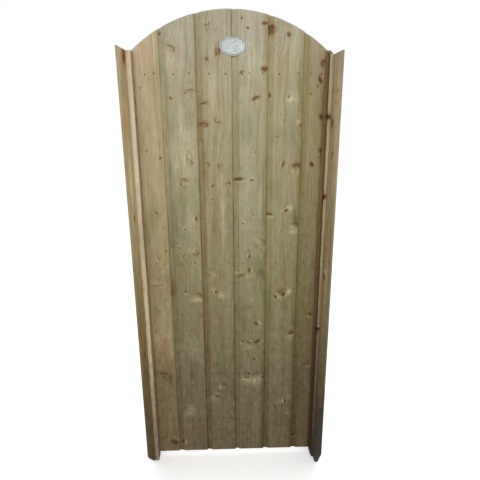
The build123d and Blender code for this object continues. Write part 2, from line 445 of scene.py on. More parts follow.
    # Coves grow darker and greener towards the foot: painted shade with some damp
    cove_foot_shade_and_damp = times(cove_shade_and_algae, span(up, 0.95, 0.15, 0.0, foot_shade_and_damp_in_cove))
    base = stained(cove_foot_shade_and_damp, base, (0.76, 0.80, 0.72))
    breaking = cloud(stretched(grain, (90.0, 90.0, 26.0)), 1.0, 3.0, 0.6)
    breaking = span(breaking, 0.25, 0.60, 0.25, 1.0)
    base = stained(times(attribute("olive"), breaking), base, (0.44, 0.42, 0.31))
    redness = times(attribute("red"), span(streak, 0.25, 0.60, 0.45, 1.0))
    base = stained(redness, base, (0.76, 0.50, 0.37))
    paleness = times(calc("POWER", attribute("pale"), 1.4), span(breaking, 0.25, 1.0, 0.45, 1.0))
    base = stained(paleness, base, (2.25, 2.42, 2.70))
    base = blend(times(attribute("worn"), 0.62), base, (0.35, 0.35, 0.31))
    # Dark line in each cove under the neighbour's square edge: painted shade, stronger towards the
    # foot
    seam_shade = times(attribute("seam_shade"), span(streak, 0.30, 0.55, 0.45, 1.0))
    seam_shade = times(seam_shade, span(up, 1.60, 0.90, 0.40, 1.0))
    base = stained(seam_shade, base, (0.36, 0.28, 0.19))

    facing = nodes.new("ShaderNodeSeparateXYZ")
    links.new(nodes.new("ShaderNodeTexCoord").outputs["Normal"], facing.inputs[0])
    # Painted shade on the side faces, set by depth from the front of the timber
    if side_shade_colours:
        side = blend(span(back, -0.040, -0.012), *side_shade_colours)
        base = stained(span(facing.outputs["Y"], -0.85, -0.35), base, side)
    # Painted shade, grey, on the edge that faces the front
    if front_edge_shade:
        base = stained(span(facing.outputs["Y"], -0.45, -0.85), base, front_edge_shade)

    rough_edge = calc("SUBTRACT", cloud(place, 120.0, 4.0, 0.65), 0.5)
    ragged = calc("ADD", knot, times(rough_edge, 0.95))
    trail_cover = times(times(trail, span(streak, 0.30, 0.65, 0.35, 1.0)), 0.62)
    base = stained(trail_cover, base, (0.88, 0.66, 0.46))
    pale_side = times(span(ragged, 2.6, 1.3, 0.0, 0.90), span(lean, 0.0, -0.8))
    pale_side = times(pale_side, span(up, 1.45, 0.85, 0.22, 1.0))
    pale_side = times(pale_side, span(darkness, 0.0, 0.55, 0.35, 1.0))
    base = stained(pale_side, base, (1.62, 1.72, 1.80))
    halo = times(span(ragged, 2.5, 1.0, 0.0, 1.0), span(darkness, 0.0, 1.0, 0.16, 0.62))
    base = stained(times(halo, span(lean, -0.9, 0.6, 0.25, 1.0)), base, (0.66, 0.46, 0.27))
    inner_rings = calc("SINE", times(ragged, 17.0))
    dark_ring = tuple(0.55 * part for part in knot_colour)
    heart = blend(span(inner_rings, -0.6, 0.9, 0.0, 0.7), knot_colour, dark_ring)
    heart = stained(span(rough_edge, -0.10, 0.14, 0.0, 0.60), heart, (0.46, 0.36, 0.28))
    blackness = span(darkness, 0.55, 1.0, 0.0, 0.90)
    blackness = times(blackness, span(rough_edge, -0.06, 0.08, 0.10, 1.0))
    heart = stained(blackness, heart, (0.34, 0.32, 0.30))
    heart = stained(1.0, base, heart)
    heart_cover = times(span(ragged, 1.18, 0.62), span(darkness, 0.08, 0.72, 0.0, 0.92))
    heart_cover = times(heart_cover, span(lean, -1.0, 0.5, 0.55, 1.0))
    base = blend(heart_cover, base, heart)
    rim = times(span(ragged, 1.38, 1.10), span(ragged, 0.72, 1.0))
    rim = times(rim, span(lean, -0.35, 0.65))
    base = stained(times(rim, span(darkness, 0.0, 0.8, 0.62, 0.85)), base, (0.34, 0.22, 0.12))
    links.new(base, surface.inputs["Base Color"])

    gloss = span(late, 0.0, 1.0, rough, rough - 0.10)
    gloss = calc("ADD", gloss, span(fleck, 0.3, 0.7, -0.04, 0.04))
    gloss = calc("SUBTRACT", gloss, times(heart_cover, 0.14))
    links.new(gloss, surface.inputs["Roughness"])
    relief = calc("ADD", times(late, 0.5), times(fibre, 0.8))
    relief = calc("ADD", relief, times(times(inner_rings, heart_cover), 0.35))
    bump = nodes.new("ShaderNodeBump")
    bump.inputs["Strength"].default_value = 0.42
    bump.inputs["Distance"].default_value = 0.0006
    links.new(relief, bump.inputs["Height"])
    links.new(bump.outputs["Normal"], surface.inputs["Normal"])
    return material


def tone(red, green, blue):
    """A colour as it looks on screen, turned into the linear one that a shader takes."""
    linear = []
    for share in (red / 255, green / 255, blue / 255):
        linear.append(share / 12.92 if share < 0.0404 else ((share + 0.055) / 1.055) ** 2.4)
    return tuple(linear)


def arch_height(across):
    """Where the arch is, over a place across the leaf."""
    return LEAF_TOP - ARCH_RADIUS + math.sqrt(ARCH_RADIUS**2 - (across - LEAF_MIDDLE) ** 2)


# Knots of each board: across, height, width, height of the knot, and how dark it is
BOARD_KNOTS = {
    1: [
        (0.047, 1.566, 0.010, 0.008, 0.3),
        (0.050, 1.354, 0.012, 0.012, 0.2),
        (0.101, 1.321, 0.010, 0.009, 0.8),
        (0.076, 1.120, 0.009, 0.009, 0.7),
        (0.102, 0.969, 0.007, 0.007, 0.8),
        (0.067, 0.935, 0.008, 0.008, 0.5),
        (0.062, 0.826, 0.030, 0.014, 0.1),
        (0.068, 0.392, 0.040, 0.060, 0.05),
        (0.095, 0.072, 0.025, 0.025, 1.0),
    ],
    2: [
        (0.118, 1.743, 0.012, 0.008, 0.8),
        (0.152, 1.692, 0.030, 0.022, 0.25),
        (0.149, 1.535, 0.012, 0.011, 0.5),
        (0.215, 1.551, 0.034, 0.018, 0.15),
        (0.202, 1.309, 0.030, 0.016, 0.12),
        (0.185, 1.237, 0.024, 0.016, 0.25),
        (0.221, 1.092, 0.010, 0.012, 0.7),
        (0.168, 1.226, 0.009, 0.011, 0.5),
        (0.172, 0.942, 0.008, 0.008, 0.6),
        (0.156, 0.979, 0.007, 0.007, 0.6),
        (0.212, 0.958, 0.030, 0.020, 0.10),
        (0.172, 0.789, 0.009, 0.012, 0.6),
        (0.220, 0.772, 0.026, 0.020, 0.12),
        (0.162, 0.238, 0.030, 0.024, 0.10),
        (0.134, 0.066, 0.014, 0.014, 0.8),
    ],
    3: [
        (0.282, 1.774, 0.018, 0.014, 0.15),
        (0.280, 1.664, 0.009, 0.015, 0.6),
        (0.314, 1.686, 0.020, 0.022, 0.45),
        (0.255, 1.436, 0.038, 0.020, 0.40),
        (0.312, 1.462, 0.020, 0.030, 0.08),
        (0.270, 1.296, 0.020, 0.012, 0.15),
        (0.322, 1.290, 0.022, 0.014, 0.15),
        (0.288, 1.221, 0.010, 0.010, 0.6),
        (0.350, 1.228, 0.009, 0.007, 0.7),
        (0.256, 1.510, 0.040, 0.007, 0.45),
        (0.277, 0.862, 0.018, 0.012, 0.15),
        (0.290, 0.787, 0.010, 0.010, 0.8),
        (0.315, 0.352, 0.026, 0.016, 0.20),
        (0.290, 0.305, 0.015, 0.015, 0.35),
    ],
    4: [
        (0.399, 1.789, 0.007, 0.007, 0.7),
        (0.421, 1.756, 0.008, 0.010, 0.6),
        (0.481, 1.776, 0.019, 0.011, 0.65),
        (0.481, 1.632, 0.021, 0.018, 0.80),
        (0.402, 1.616, 0.015, 0.010, 0.60),
        (0.428, 1.616, 0.006, 0.006, 0.5),
        (0.450, 1.528, 0.026, 0.013, 0.60),
        (0.387, 1.240, 0.032, 0.013, 0.80),
        (0.436, 1.241, 0.010, 0.009, 0.8),
        (0.476, 0.998, 0.034, 0.016, 0.15),
        (0.405, 1.074, 0.010, 0.006, 0.4),
        (0.437, 1.106, 0.014, 0.008, 0.2),
        (0.426, 0.939, 0.009, 0.011, 0.8),
        (0.430, 0.879, 0.012, 0.014, 0.7),
        (0.388, 0.860, 0.034, 0.014, 0.25),
        (0.460, 0.646, 0.018, 0.013, 0.7),
        (0.465, 0.560, 0.025, 0.017, 0.75),
        (0.397, 0.562, 0.009, 0.009, 0.7),
        (0.429, 0.560, 0.012, 0.012, 0.5),
        (0.451, 0.482, 0.010, 0.010, 0.7),
        (0.429, 0.409, 0.010, 0.010, 0.7),
        (0.415, 0.387, 0.022, 0.007, 0.6),
        (0.484, 0.395, 0.010, 0.012, 0.8),
    ],
    5: [
        (0.509, 1.753, 0.038, 0.027, 0.75),
        (0.562, 1.742, 0.011, 0.018, 0.85),
        (0.497, 1.540, 0.012, 0.011, 0.8),
        (0.570, 1.535, 0.009, 0.007, 0.9),
        (0.612, 1.440, 0.015, 0.010, 0.4),
        (0.549, 1.042, 0.006, 0.007, 0.7),
        (0.553, 0.540, 0.008, 0.006, 0.6),
        (0.550, 1.296, 0.010, 0.022, 0.65),
        (0.603, 1.286, 0.028, 0.024, 0.55),
        (0.502, 1.104, 0.024, 0.013, 0.6),
        (0.567, 1.122, 0.022, 0.009, 0.9),
        (0.605, 1.062, 0.024, 0.020, 0.25),
        (0.536, 0.766, 0.013, 0.013, 0.9),
        (0.569, 0.772, 0.013, 0.013, 0.9),
        (0.604, 0.597, 0.022, 0.016, 0.6),
        (0.542, 0.247, 0.010, 0.010, 0.6),
        (0.580, 0.267, 0.012, 0.014, 0.7),
    ],
    6: [
        (0.682, 1.592, 0.013, 0.022, 1.0),
        (0.690, 1.645, 0.020, 0.024, 0.45),
        (0.691, 1.468, 0.018, 0.018, 1.0),
        (0.700, 0.977, 0.010, 0.030, 0.9),
        (0.672, 1.572, 0.006, 0.006, 0.7),
        (0.648, 1.545, 0.006, 0.006, 0.7),
        (0.664, 1.297, 0.016, 0.016, 0.85),
        (0.690, 1.342, 0.018, 0.016, 0.8),
        (0.676, 0.680, 0.014, 0.014, 0.6),
        (0.672, 0.442, 0.024, 0.014, 0.2),
        (0.628, 0.082, 0.014, 0.016, 0.9),
    ],
}

# Marks in the grain of each board: kind, across, height, width, height of the mark, strength
BOARD_MARKS = {
    1: [
        # Along the left edge, next to the hinge stop: painted shade, olive
        ("olive", 0.024, 0.95, 0.012, 2.4, 0.35),
        ("red", 0.104, 1.150, 0.014, 1.400, 0.20),
        ("red", 0.111, 0.835, 0.014, 0.080, 0.7),
        ("red", 0.112, 0.790, 0.018, 0.036, 0.8),
        ("olive", 0.068, 0.392, 0.050, 0.070, 0.5),
        ("red", 0.075, 0.540, 0.040, 0.180, 0.2),
        ("pale", 0.070, 0.600, 0.120, 0.260, 0.42),
        ("red", 0.060, 1.690, 0.030, 0.120, 0.3),
        ("pale", 0.075, 0.820, 0.028, 0.012, 0.5),
        ("olive", 0.040, 0.690, 0.020, 0.100, 0.5),
    ],
    2: [
        ("pale", 0.180, 1.340, 0.085, 0.300, 0.42),
        ("pale", 0.155, 1.645, 0.060, 0.060, 0.30),
        ("olive", 0.146, 1.430, 0.024, 0.100, 0.50),
        ("olive", 0.202, 1.460, 0.026, 0.080, 0.45),
        ("pale", 0.205, 1.150, 0.040, 0.300, 0.30),
        ("olive", 0.140, 1.080, 0.030, 0.300, 0.35),
        ("red", 0.121, 0.802, 0.022, 0.060, 1.00),
        ("red", 0.134, 0.806, 0.020, 0.012, 0.80),
        ("pale", 0.212, 0.755, 0.058, 0.018, 0.55),
        ("red", 0.160, 0.860, 0.040, 0.120, 0.50),
        ("pale", 0.190, 0.540, 0.100, 0.120, 0.32),
        ("pale", 0.180, 0.920, 0.090, 0.200, 0.28),
        ("pale", 0.162, 0.222, 0.034, 0.045, 0.70),
        ("olive", 0.190, 0.420, 0.024, 0.100, 0.45),
        ("pale", 0.183, 0.372, 0.010, 0.010, 0.80),
        ("red", 0.200, 0.120, 0.050, 0.140, 0.35),
    ],
    3: [
        ("red", 0.250, 0.750, 0.020, 1.500, 0.60),
        ("red", 0.300, 1.060, 0.026, 0.200, 0.60),
        ("pale", 0.325, 1.110, 0.018, 0.240, 0.35),
        ("olive", 0.350, 1.150, 0.020, 0.250, 0.40),
        ("pale", 0.318, 0.775, 0.036, 0.028, 0.60),
        ("pale", 0.283, 0.800, 0.016, 0.018, 0.60),
        ("pale", 0.276, 0.866, 0.018, 0.014, 0.50),
        ("pale", 0.303, 0.350, 0.013, 0.022, 0.90),
        ("olive", 0.327, 0.345, 0.028, 0.026, 0.60),
        ("pale", 0.270, 0.285, 0.035, 0.040, 0.50),
        ("olive", 0.310, 0.186, 0.070, 0.010, 0.40),
        ("olive", 0.320, 0.410, 0.080, 0.008, 0.45),
        ("pale", 0.300, 1.560, 0.030, 0.120, 0.30),
        ("red", 0.310, 0.640, 0.030, 0.140, 0.30),
    ],
    4: [
        ("pale", 0.442, 0.374, 0.074, 0.034, 0.80),
        ("olive", 0.474, 0.868, 0.034, 0.026, 0.60),
        ("olive", 0.388, 0.860, 0.036, 0.012, 0.60),
        ("pale", 0.425, 0.856, 0.040, 0.016, 0.45),
        ("olive", 0.430, 0.410, 0.100, 0.008, 0.45),
        ("pale", 0.425, 0.535, 0.050, 0.030, 0.40),
        ("pale", 0.466, 1.160, 0.016, 0.100, 0.40),
        ("red", 0.426, 0.960, 0.006, 0.034, 0.80),
        ("pale", 0.440, 1.650, 0.060, 0.090, 0.25),
        ("red", 0.400, 0.690, 0.050, 0.120, 0.35),
    ],
    5: [
        ("pale", 0.581, 1.128, 0.020, 0.020, 1.00),
        ("olive", 0.606, 1.090, 0.022, 0.075, 0.75),
        ("pale", 0.602, 1.036, 0.036, 0.014, 0.75),
        ("olive", 0.552, 0.787, 0.024, 0.026, 0.80),
        ("pale", 0.588, 0.784, 0.020, 0.020, 0.90),
        ("pale", 0.552, 0.760, 0.028, 0.009, 0.60),
        ("pale", 0.578, 1.526, 0.030, 0.018, 0.50),
        ("pale", 0.606, 1.448, 0.018, 0.014, 0.50),
        ("olive", 0.585, 1.400, 0.044, 0.110, 0.40),
        ("pale", 0.565, 0.262, 0.046, 0.026, 0.60),
        ("pale", 0.600, 0.285, 0.026, 0.018, 0.70),
        ("pale", 0.603, 0.204, 0.026, 0.012, 0.60),
        ("red", 0.562, 0.900, 0.028, 0.200, 0.45),
        ("red", 0.575, 0.170, 0.050, 0.100, 0.45),
        ("pale", 0.592, 0.578, 0.026, 0.028, 0.50),
        ("red", 0.530, 1.620, 0.030, 0.120, 0.30),
    ],
    6: [
        # These two along the right edge, next to the latch stop: painted shade, brown, cast by the
        # stop
        ("red", 0.701, 1.10, 0.026, 2.6, 0.70),
        ("olive", 0.700, 0.75, 0.014, 1.2, 0.40),
        ("red", 0.693, 1.648, 0.018, 0.030, 0.80),
        ("olive", 0.650, 0.60, 0.014, 0.9, 0.35),
        ("pale", 0.672, 0.436, 0.020, 0.009, 0.50),
        ("pale", 0.668, 0.693, 0.012, 0.010, 0.50),
    ],
}

# Tints of the boards. Board 1's is lifted above white as painted light, against the shade that the
# hinge stop casts on it.
BOARD_TINTS = {
    1: tone(284, 273, 266),
    2: tone(248, 247, 246),
    3: tone(251, 248, 246),
    4: tone(252, 253, 252),
    5: tone(250, 250, 244),
    6: tone(238, 231, 217),
}
# Colour of the boards from the foot up: darker towards the foot with painted shade and some damp
BOARD_HEIGHTS = (
    (0.02, tone(106, 97, 74)),
    (0.18, tone(110, 103, 80)),
    (0.30, tone(122, 115, 89)),
    (0.46, tone(138, 133, 105)),
    (0.62, tone(151, 146, 119)),
    (0.80, tone(162, 157, 132)),
    (0.94, tone(167, 163, 146)),
)
# Where the heart of the tree was, across each board
BOARD_PITHS = {1: -0.05, 2: 0.172, 3: 0.36, 4: 0.43, 5: 0.552, 6: 0.72}
# How strongly each board's cove is darkened with painted shade and algae, and how strongly the seam
# in it is darkened with painted shade
COVE_SHADING = {2: 0.35, 3: 0.8, 4: 0.5, 5: 0.8, 6: 0.8}
SEAM_SHADE = {2: 0.30, 3: 0.85, 4: 0.85, 5: 0.85, 6: 0.85}
board_edges = [LEAF_LEFT]
for number in range(1, 6):
    board_edges.append(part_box(f"board_{number}")[1].x)
board_edges.append(LEAF_RIGHT)

for number in range(1, 7):
    left = board_edges[number - 1]
    right = board_edges[number]
    has_lip = number > 1
    has_lap = number < 6
    start = left - LAP_WIDTH + LAP_GAP if has_lip else left
    knots = BOARD_KNOTS[number]

    def board_front(at, along):
        if has_lip and at < left + COVE_FLAT:
            face = COVE_DEPTH
        elif has_lip and at < left + COVE_WIDTH:
            run = (at - left - COVE_FLAT) / (COVE_WIDTH - COVE_FLAT)
            rise = (COVE_WIDTH - COVE_FLAT) ** 2 / (2 * COVE_DEPTH) + COVE_DEPTH / 2
            face = COVE_DEPTH - rise + math.sqrt(rise**2 - (run * (COVE_WIDTH - COVE_FLAT)) ** 2)
        else:
            face = 0.0
        near_edge = right - at
        if not has_lip:
            near_edge = min(near_edge, at - left)
        if near_edge < BOARD_ARRIS:
            face = eased(near_edge, BOARD_ARRIS)
        to_middle = 1 - abs(2 * (at - left) / (right - left) - 1)
        cup = CUP_DEPTH * (1 + np.sin(along * 5.1 + number)) * to_middle
        near = knot_marks(np.full_like(along, at), along, knots)[1]
        swell = KNOT_SWELL * np.exp(-((near / 1.5) ** 2))
        swell -= KNOT_GROOVE * np.exp(-(((near - 1.0) / 0.16) ** 2))
        return face + FACE_INSET + cup - (swell if face < 0.004 else 0.0)

    def board_back(at, along):
        in_lap = has_lap and at > right - LAP_WIDTH
        return np.full_like(along, COVE_DEPTH if in_lap else BOARD_THICKNESS)

    tallest = arch_height(min(max(LEAF_MIDDLE, start), right))
    close = [(right, 0.0012, 0.0003), (left, 0.0 if has_lip else 0.0012, 0.0003)]
    close_steps = [(0.0, 0.0008, 0.00027), (1.0, 0.0008, 0.00027), (1.0, 0.0040, 0.0009)]
    for knot_across, knot_height, wide, tall, darkness in knots:
        if darkness > CLEAR_KNOT:
            share = (knot_height - LEAF_FOOT) / (tallest - LEAF_FOOT)
            close.append((knot_across, wide * 0.9, 0.0016))
            close_steps.append((share, tall * 0.75 / tallest, 0.0016 / tallest))
    if has_lip:
        close += [(left + 0.012, 0.013, 0.0015)]
    across = list(fine_stops(start, right, 0.0036, close))
    if has_lap:
        across = [at for at in across if abs(at - right + LAP_WIDTH) > 0.0006]
        across += [right - LAP_WIDTH - 0.00002, right - LAP_WIDTH + 0.00002]
        across.sort()
    steps = fine_stops(0.0, 1.0, 0.0040, close_steps)
    board = plank(
        f"shown_board_{number}",
        across,
        board_front,
        board_back,
        lambda at: LEAF_FOOT,
        arch_height,
        steps,
        lambda at, depth, along: (at, depth, along),
        knots=knots,
        marks=BOARD_MARKS[number],
        seed=number * 17,
        pith=(BOARD_PITHS[number], 0.020 + 0.006 * number),
    )
    points = np.zeros(len(board.data.vertices) * 3)
    board.data.vertices.foreach_get("co", points)
    points = points.reshape(-1, 3)
    in_front = points[:, 1] < 0.010
    cove_shade_and_algae = np.zeros(len(points))
    seam_shade = np.zeros(len(points))
    # The cove darkens with painted shade and algae; its seam, under the neighbour's square edge,
    # with painted shade
    if has_lip:
        cove_shade_and_algae = np.clip((left + COVE_WIDTH + 0.001 - points[:, 0]) / 0.005, 0, 1)
        cove_shade_and_algae *= COVE_SHADING[number]
        seam_shade = np.clip((left + 0.0034 - points[:, 0]) / 0.0010, 0, 1) * SEAM_SHADE[number]
    # The band along the right edge, next to the following board's cove, is painted shade
    if has_lap:
        shaded = 0.020 if number > 3 else 0.006
        beside_joint_shade = np.clip((points[:, 0] - right + shaded) / (shaded * 0.7), 0, 1)
        cove_shade_and_algae = np.maximum(cove_shade_and_algae, beside_joint_shade)
    arch = np.array([arch_height(min(max(at, LEAF_LEFT), LEAF_RIGHT)) for at in points[:, 0]])
    worn = np.clip((points[:, 2] - arch + 0.0055) / 0.003, 0, 1)
    add_layer(board.data, "worn", worn * in_front)
    add_layer(board.data, "seam_shade", seam_shade * in_front)
    add_layer(board.data, "cove_shade_and_algae", cove_shade_and_algae * in_front)
    board.data.materials.append(
        softwood(
            f"treated_board_{number}",
            deep=tone(196, 176, 132),
            heights=BOARD_HEIGHTS,
            tint=BOARD_TINTS[number],
            knot_colour=(0.82, 0.47, 0.33),
            stain_colour=tone(222, 229, 214),
            # Colour of the cove and of the band beside each joint: painted shade with some algae
            cove_shade_and_algae_colour=tone(234, 230, 202),
            # Coves of boards 4 to 6 darken towards the foot with painted shade and some damp
            foot_shade_and_damp_in_cove=1.0 if number > 3 else 0.0,
            grey=0.8,
        )
    )
    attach(board, "leaf")
    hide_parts(f"board_{number}")


# Nails: round steel heads, driven through the boards into each ledge and brace.
# There are two in each board at a ledge, dulled by the weather and a little proud.

NAIL_RADIUS = 0.0029
NAIL_SIDES = 14
NAIL_ROWS = (1.612, 0.912, 0.101)
NAIL_PAIRS = (
    (0.063, 0.094),
    (0.160, 0.213),
    (0.286, 0.345),
    (0.403, 0.475),
    (0.533, 0.600),
    (0.645, 0.683),
)
# The line of nails into each brace: its upper end, its lower end, and how many there are
BRACE_NAIL_LINES = (((0.669, 1.571), (0.068, 0.937)), ((0.661, 0.862), (0.094, 0.151)))
BRACE_NAIL_COUNT = 12
# Rings of a head, from under the wood to the crown: share of the radius, and depth
NAIL_RINGS = ((1.0, 0.0018), (1.0, 0.0002), (0.93, -0.0002), (0.70, -0.00042), (0.35, -0.00055))
nail_places = []
for height in NAIL_ROWS:
    for pair in NAIL_PAIRS:
        nail_places += [(across, height) for across in pair]
for step in range(BRACE_NAIL_COUNT):
    share = step / (BRACE_NAIL_COUNT - 1)
    for (top_x, top_z), (low_x, low_z) in BRACE_NAIL_LINES:
        nail_places.append((top_x + (low_x - top_x) * share, top_z + (low_z - top_z) * share))
chance = random.Random(4)
nail_spots = []
nail_faces = []
for across, height in nail_places:
    across += chance.uniform(-0.0025, 0.0025)
    height += chance.uniform(-0.0025, 0.0025)
    if any(0.0 < across - edge < 0.020 for edge in board_edges[1:-1]):
        across += 0.022
    size = NAIL_RADIUS * chance.uniform(0.88, 1.08)
    lean_x = chance.uniform(-0.10, 0.10)
    lean_z = chance.uniform(-0.10, 0.10)
    base = len(nail_spots)
    for share, depth in NAIL_RINGS:
        for turn in range(NAIL_SIDES):
            angle = turn * math.tau / NAIL_SIDES
            dx, dz = size * share * math.cos(angle), size * share * math.sin(angle)
            tilt = lean_x * dx + lean_z * dz
            nail_spots.append((across + dx, depth + 0.0002 + tilt, height + dz))
    nail_spots.append((across, -0.0004, height))
    for ring in range(len(NAIL_RINGS) - 1):
        for turn in range(NAIL_SIDES):
            a = base + ring * NAIL_SIDES + turn
            b = base + ring * NAIL_SIDES + (turn + 1) % NAIL_SIDES
            nail_faces.append((a, b, b + NAIL_SIDES, a + NAIL_SIDES))
    last = base + (len(NAIL_RINGS) - 1) * NAIL_SIDES
    for turn in range(NAIL_SIDES):
        nail_faces.append((last + turn, last + (turn + 1) % NAIL_SIDES, len(nail_spots) - 1))
    nail_faces.append(tuple(base + turn for turn in reversed(range(NAIL_SIDES))))
nail_mesh = bpy.data.meshes.new("nail_heads")
nail_mesh.from_pydata(nail_spots, [], nail_faces)
nail_heads = bpy.data.objects.new("nail_heads", nail_mesh)
bpy.context.scene.collection.objects.link(nail_heads)
nail_mesh.shade_smooth()


def weathered_steel(name, colour, dust, rust, metallic, rough, rust_share=0.3, grit=300.0):
    """Steel with a worn or painted face, dust in broad patches and rust at its wear."""
    material = bpy.data.materials.new(name)
    material.use_nodes = True
    nodes = material.node_tree.nodes
    links = material.node_tree.links
    surface = nodes["Principled BSDF"]
    surface.inputs["Metallic"].default_value = metallic
    place = nodes.new("ShaderNodeTexCoord").outputs["Object"]

    def cloud(scale, detail):
        node = nodes.new("ShaderNodeTexNoise")
        node.inputs["Scale"].default_value = scale
        node.inputs["Detail"].default_value = detail
        links.new(place, node.inputs["Vector"])
        return node.outputs["Fac"]

    def span(value, low, high, to_low, to_high):
        node = nodes.new("ShaderNodeMapRange")
        node.inputs["From Min"].default_value = low
        node.inputs["From Max"].default_value = high
        node.inputs["To Min"].default_value = to_low
        node.inputs["To Max"].default_value = to_high
        links.new(value, node.inputs["Value"])
        return node.outputs["Result"]

    def blend(factor, first, second):
        node = nodes.new("ShaderNodeMix")
        node.data_type = "RGBA"
        links.new(factor, node.inputs["Factor"])
        for socket, value in ((node.inputs[6], first), (node.inputs[7], second)):
            if isinstance(value, tuple):
                socket.default_value = (*value, 1.0)
            else:
                links.new(value, socket)
        return node.outputs[2]

    broad = cloud(34.0, 4.0)
    fine = cloud(grit, 3.0)
    shade = blend(span(broad, 0.35, 0.65, 0.0, 0.55), colour, dust)
    shade = blend(span(fine, 0.60 - rust_share * 0.3, 0.78, 0.0, 0.85), shade, rust)
    links.new(shade, surface.inputs["Base Color"])
    links.new(span(fine, 0.3, 0.7, rough - 0.08, rough + 0.14), surface.inputs["Roughness"])
    bump = nodes.new("ShaderNodeBump")
    bump.inputs["Strength"].default_value = 0.30
    bump.inputs["Distance"].default_value = 0.0003
    links.new(fine, bump.inputs["Height"])
    links.new(bump.outputs["Normal"], surface.inputs["Normal"])
    return material


nail_mesh.materials.append(
    weathered_steel(
        "nail_steel",
        tone(92, 84, 70),
        tone(66, 58, 46),
        tone(88, 60, 40),
        metallic=0.35,
        rough=0.62,
        rust_share=0.5,
        grit=900.0,
    )
)
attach(nail_heads, "leaf")


# Oval plate: a small pressed plate near the head of the arch, painted a pale grey-green.
# It has a rolled rim, a plain field, and a pin at each end that holds it to the boards.

plate_low, plate_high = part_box("oval_plate")
plate_centre_x = (plate_low.x + plate_high.x) / 2
plate_centre_z = (plate_low.z + plate_high.z) / 2
plate_half_width = (plate_high.x - plate_low.x) / 2
plate_half_height = (plate_high.z - plate_low.z) / 2
PLATE_SIDES = 120
PLATE_PIN_REACH = 0.0385
# From the back edge over the rim to the field: distance in from the edge, and depth
plate_profile = (
    (0.0000, -0.0001),
    (0.0000, -0.0011),
    (0.0004, -0.0017),
    (0.0012, -0.0020),
    (0.0022, -0.0019),
    (0.0030, -0.0013),
    (0.0037, -0.00075),
    (0.0046, -0.00065),
    (0.0054, -0.00095),
    (0.0060, -0.00105),
    (0.0068, -0.00085),
    (0.0090, -0.00080),
    (0.0140, -0.00088),
    (0.0200, -0.00100),
    (0.0260, -0.00110),
)
# The edge, and the groove inside the rim, are darker than the field: painted shade with some
# weathered dirt
PLATE_GROOVE_RINGS = (0, 1, 6, 7)
plate_spots = []
plate_faces = []
for inset, depth in plate_profile:
    for turn in range(PLATE_SIDES):
        angle = turn * math.tau / PLATE_SIDES
        plate_spots.append(
            (
                plate_centre_x + (plate_half_width - inset * 1.25) * math.cos(angle),
                depth,
                plate_centre_z + (plate_half_height - inset) * math.sin(angle),
            )
        )
for ring in range(len(plate_profile) - 1):
    for turn in range(PLATE_SIDES):
        a = ring * PLATE_SIDES + turn
        b = ring * PLATE_SIDES + (turn + 1) % PLATE_SIDES
        plate_faces.append((a, b, b + PLATE_SIDES, a + PLATE_SIDES))
last_ring = (len(plate_profile) - 1) * PLATE_SIDES
plate_faces.append(tuple(last_ring + turn for turn in range(PLATE_SIDES)))
plate_faces.append(tuple(reversed(range(PLATE_SIDES))))
plate_mesh = bpy.data.meshes.new("oval_face")
plate_mesh.from_pydata(plate_spots, [], plate_faces)
oval_face = bpy.data.objects.new("oval_face", plate_mesh)
bpy.context.scene.collection.objects.link(oval_face)
plate_mesh.shade_smooth()
plate_mesh.materials.append(
    weathered_steel(
        "pale_plate_paint",
        tone(184, 190, 186),
        tone(156, 164, 162),
        tone(98, 106, 104),
        metallic=0.0,
        rough=0.42,
        rust_share=0.55,
        grit=300.0,
    )
)
# Darker finish of the edge and groove rings: painted shade with some weathered dirt
plate_mesh.materials.append(
    weathered_steel(
        "plate_groove_shade_and_dirt",
        tone(84, 90, 90),
        tone(112, 120, 118),
        tone(60, 64, 62),
        metallic=0.0,
        rough=0.55,
        rust_share=0.4,
        grit=500.0,
    )
)
for ring in PLATE_GROOVE_RINGS:
    for turn in range(PLATE_SIDES):
        plate_mesh.polygons[ring * PLATE_SIDES + turn].material_index = 1
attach(oval_face, "leaf")
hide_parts("oval_plate")


HEAD_SIDES = 24
HEAD_RINGS = 9


def round_head(name, places, facing, radius, height, material, body, cross=True):
    """Domed heads of screws or pins, turned each its own way, with a cross cut if asked."""
    out = Vector(facing).normalized()
    side = out.orthogonal().normalized()
    other = out.cross(side)
    spots, faces = [], []
    for number, place in enumerate(places):
        base = len(spots)
        twist = number * 1.13
        for ring in range(HEAD_RINGS):
            share = 1 - ring / HEAD_RINGS
            for turn in range(HEAD_SIDES):
                angle = turn * math.tau / HEAD_SIDES
                rise = height * math.sqrt(max(0.0, 1 - share**2.4))
                if cross and share < 0.62:
                    a = radius * share * math.cos(angle)
                    b = radius * share * math.sin(angle)
                    if abs(a) < radius * 0.13 or abs(b) < radius * 0.13:
                        rise -= height * 0.45
                point = Vector(place) + out * rise
                point += side * radius * share * math.cos(angle + twist)
                point += other * radius * share * math.sin(angle + twist)
                spots.append(tuple(point))
        spots.append(tuple(Vector(place) + out * height * (0.55 if cross else 1.0)))
        for ring in range(HEAD_RINGS - 1):
            for turn in range(HEAD_SIDES):
                a = base + ring * HEAD_SIDES + turn
                b = base + ring * HEAD_SIDES + (turn + 1) % HEAD_SIDES
                faces.append((a, b, b + HEAD_SIDES, a + HEAD_SIDES))
        last = base + (HEAD_RINGS - 1) * HEAD_SIDES
        for turn in range(HEAD_SIDES):
            faces.append((last + turn, last + (turn + 1) % HEAD_SIDES, len(spots) - 1))
        faces.append(tuple(base + turn for turn in reversed(range(HEAD_SIDES))))
    mesh = bpy.data.meshes.new(name)
    mesh.from_pydata(spots, [], faces)
    piece = bpy.data.objects.new(name, mesh)
    bpy.context.scene.collection.objects.link(piece)
    mesh.shade_smooth()
    split = piece.modifiers.new("edges", "EDGE_SPLIT")
    split.split_angle = math.radians(50)
    mesh.materials.append(material)
    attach(piece, body)
    return piece


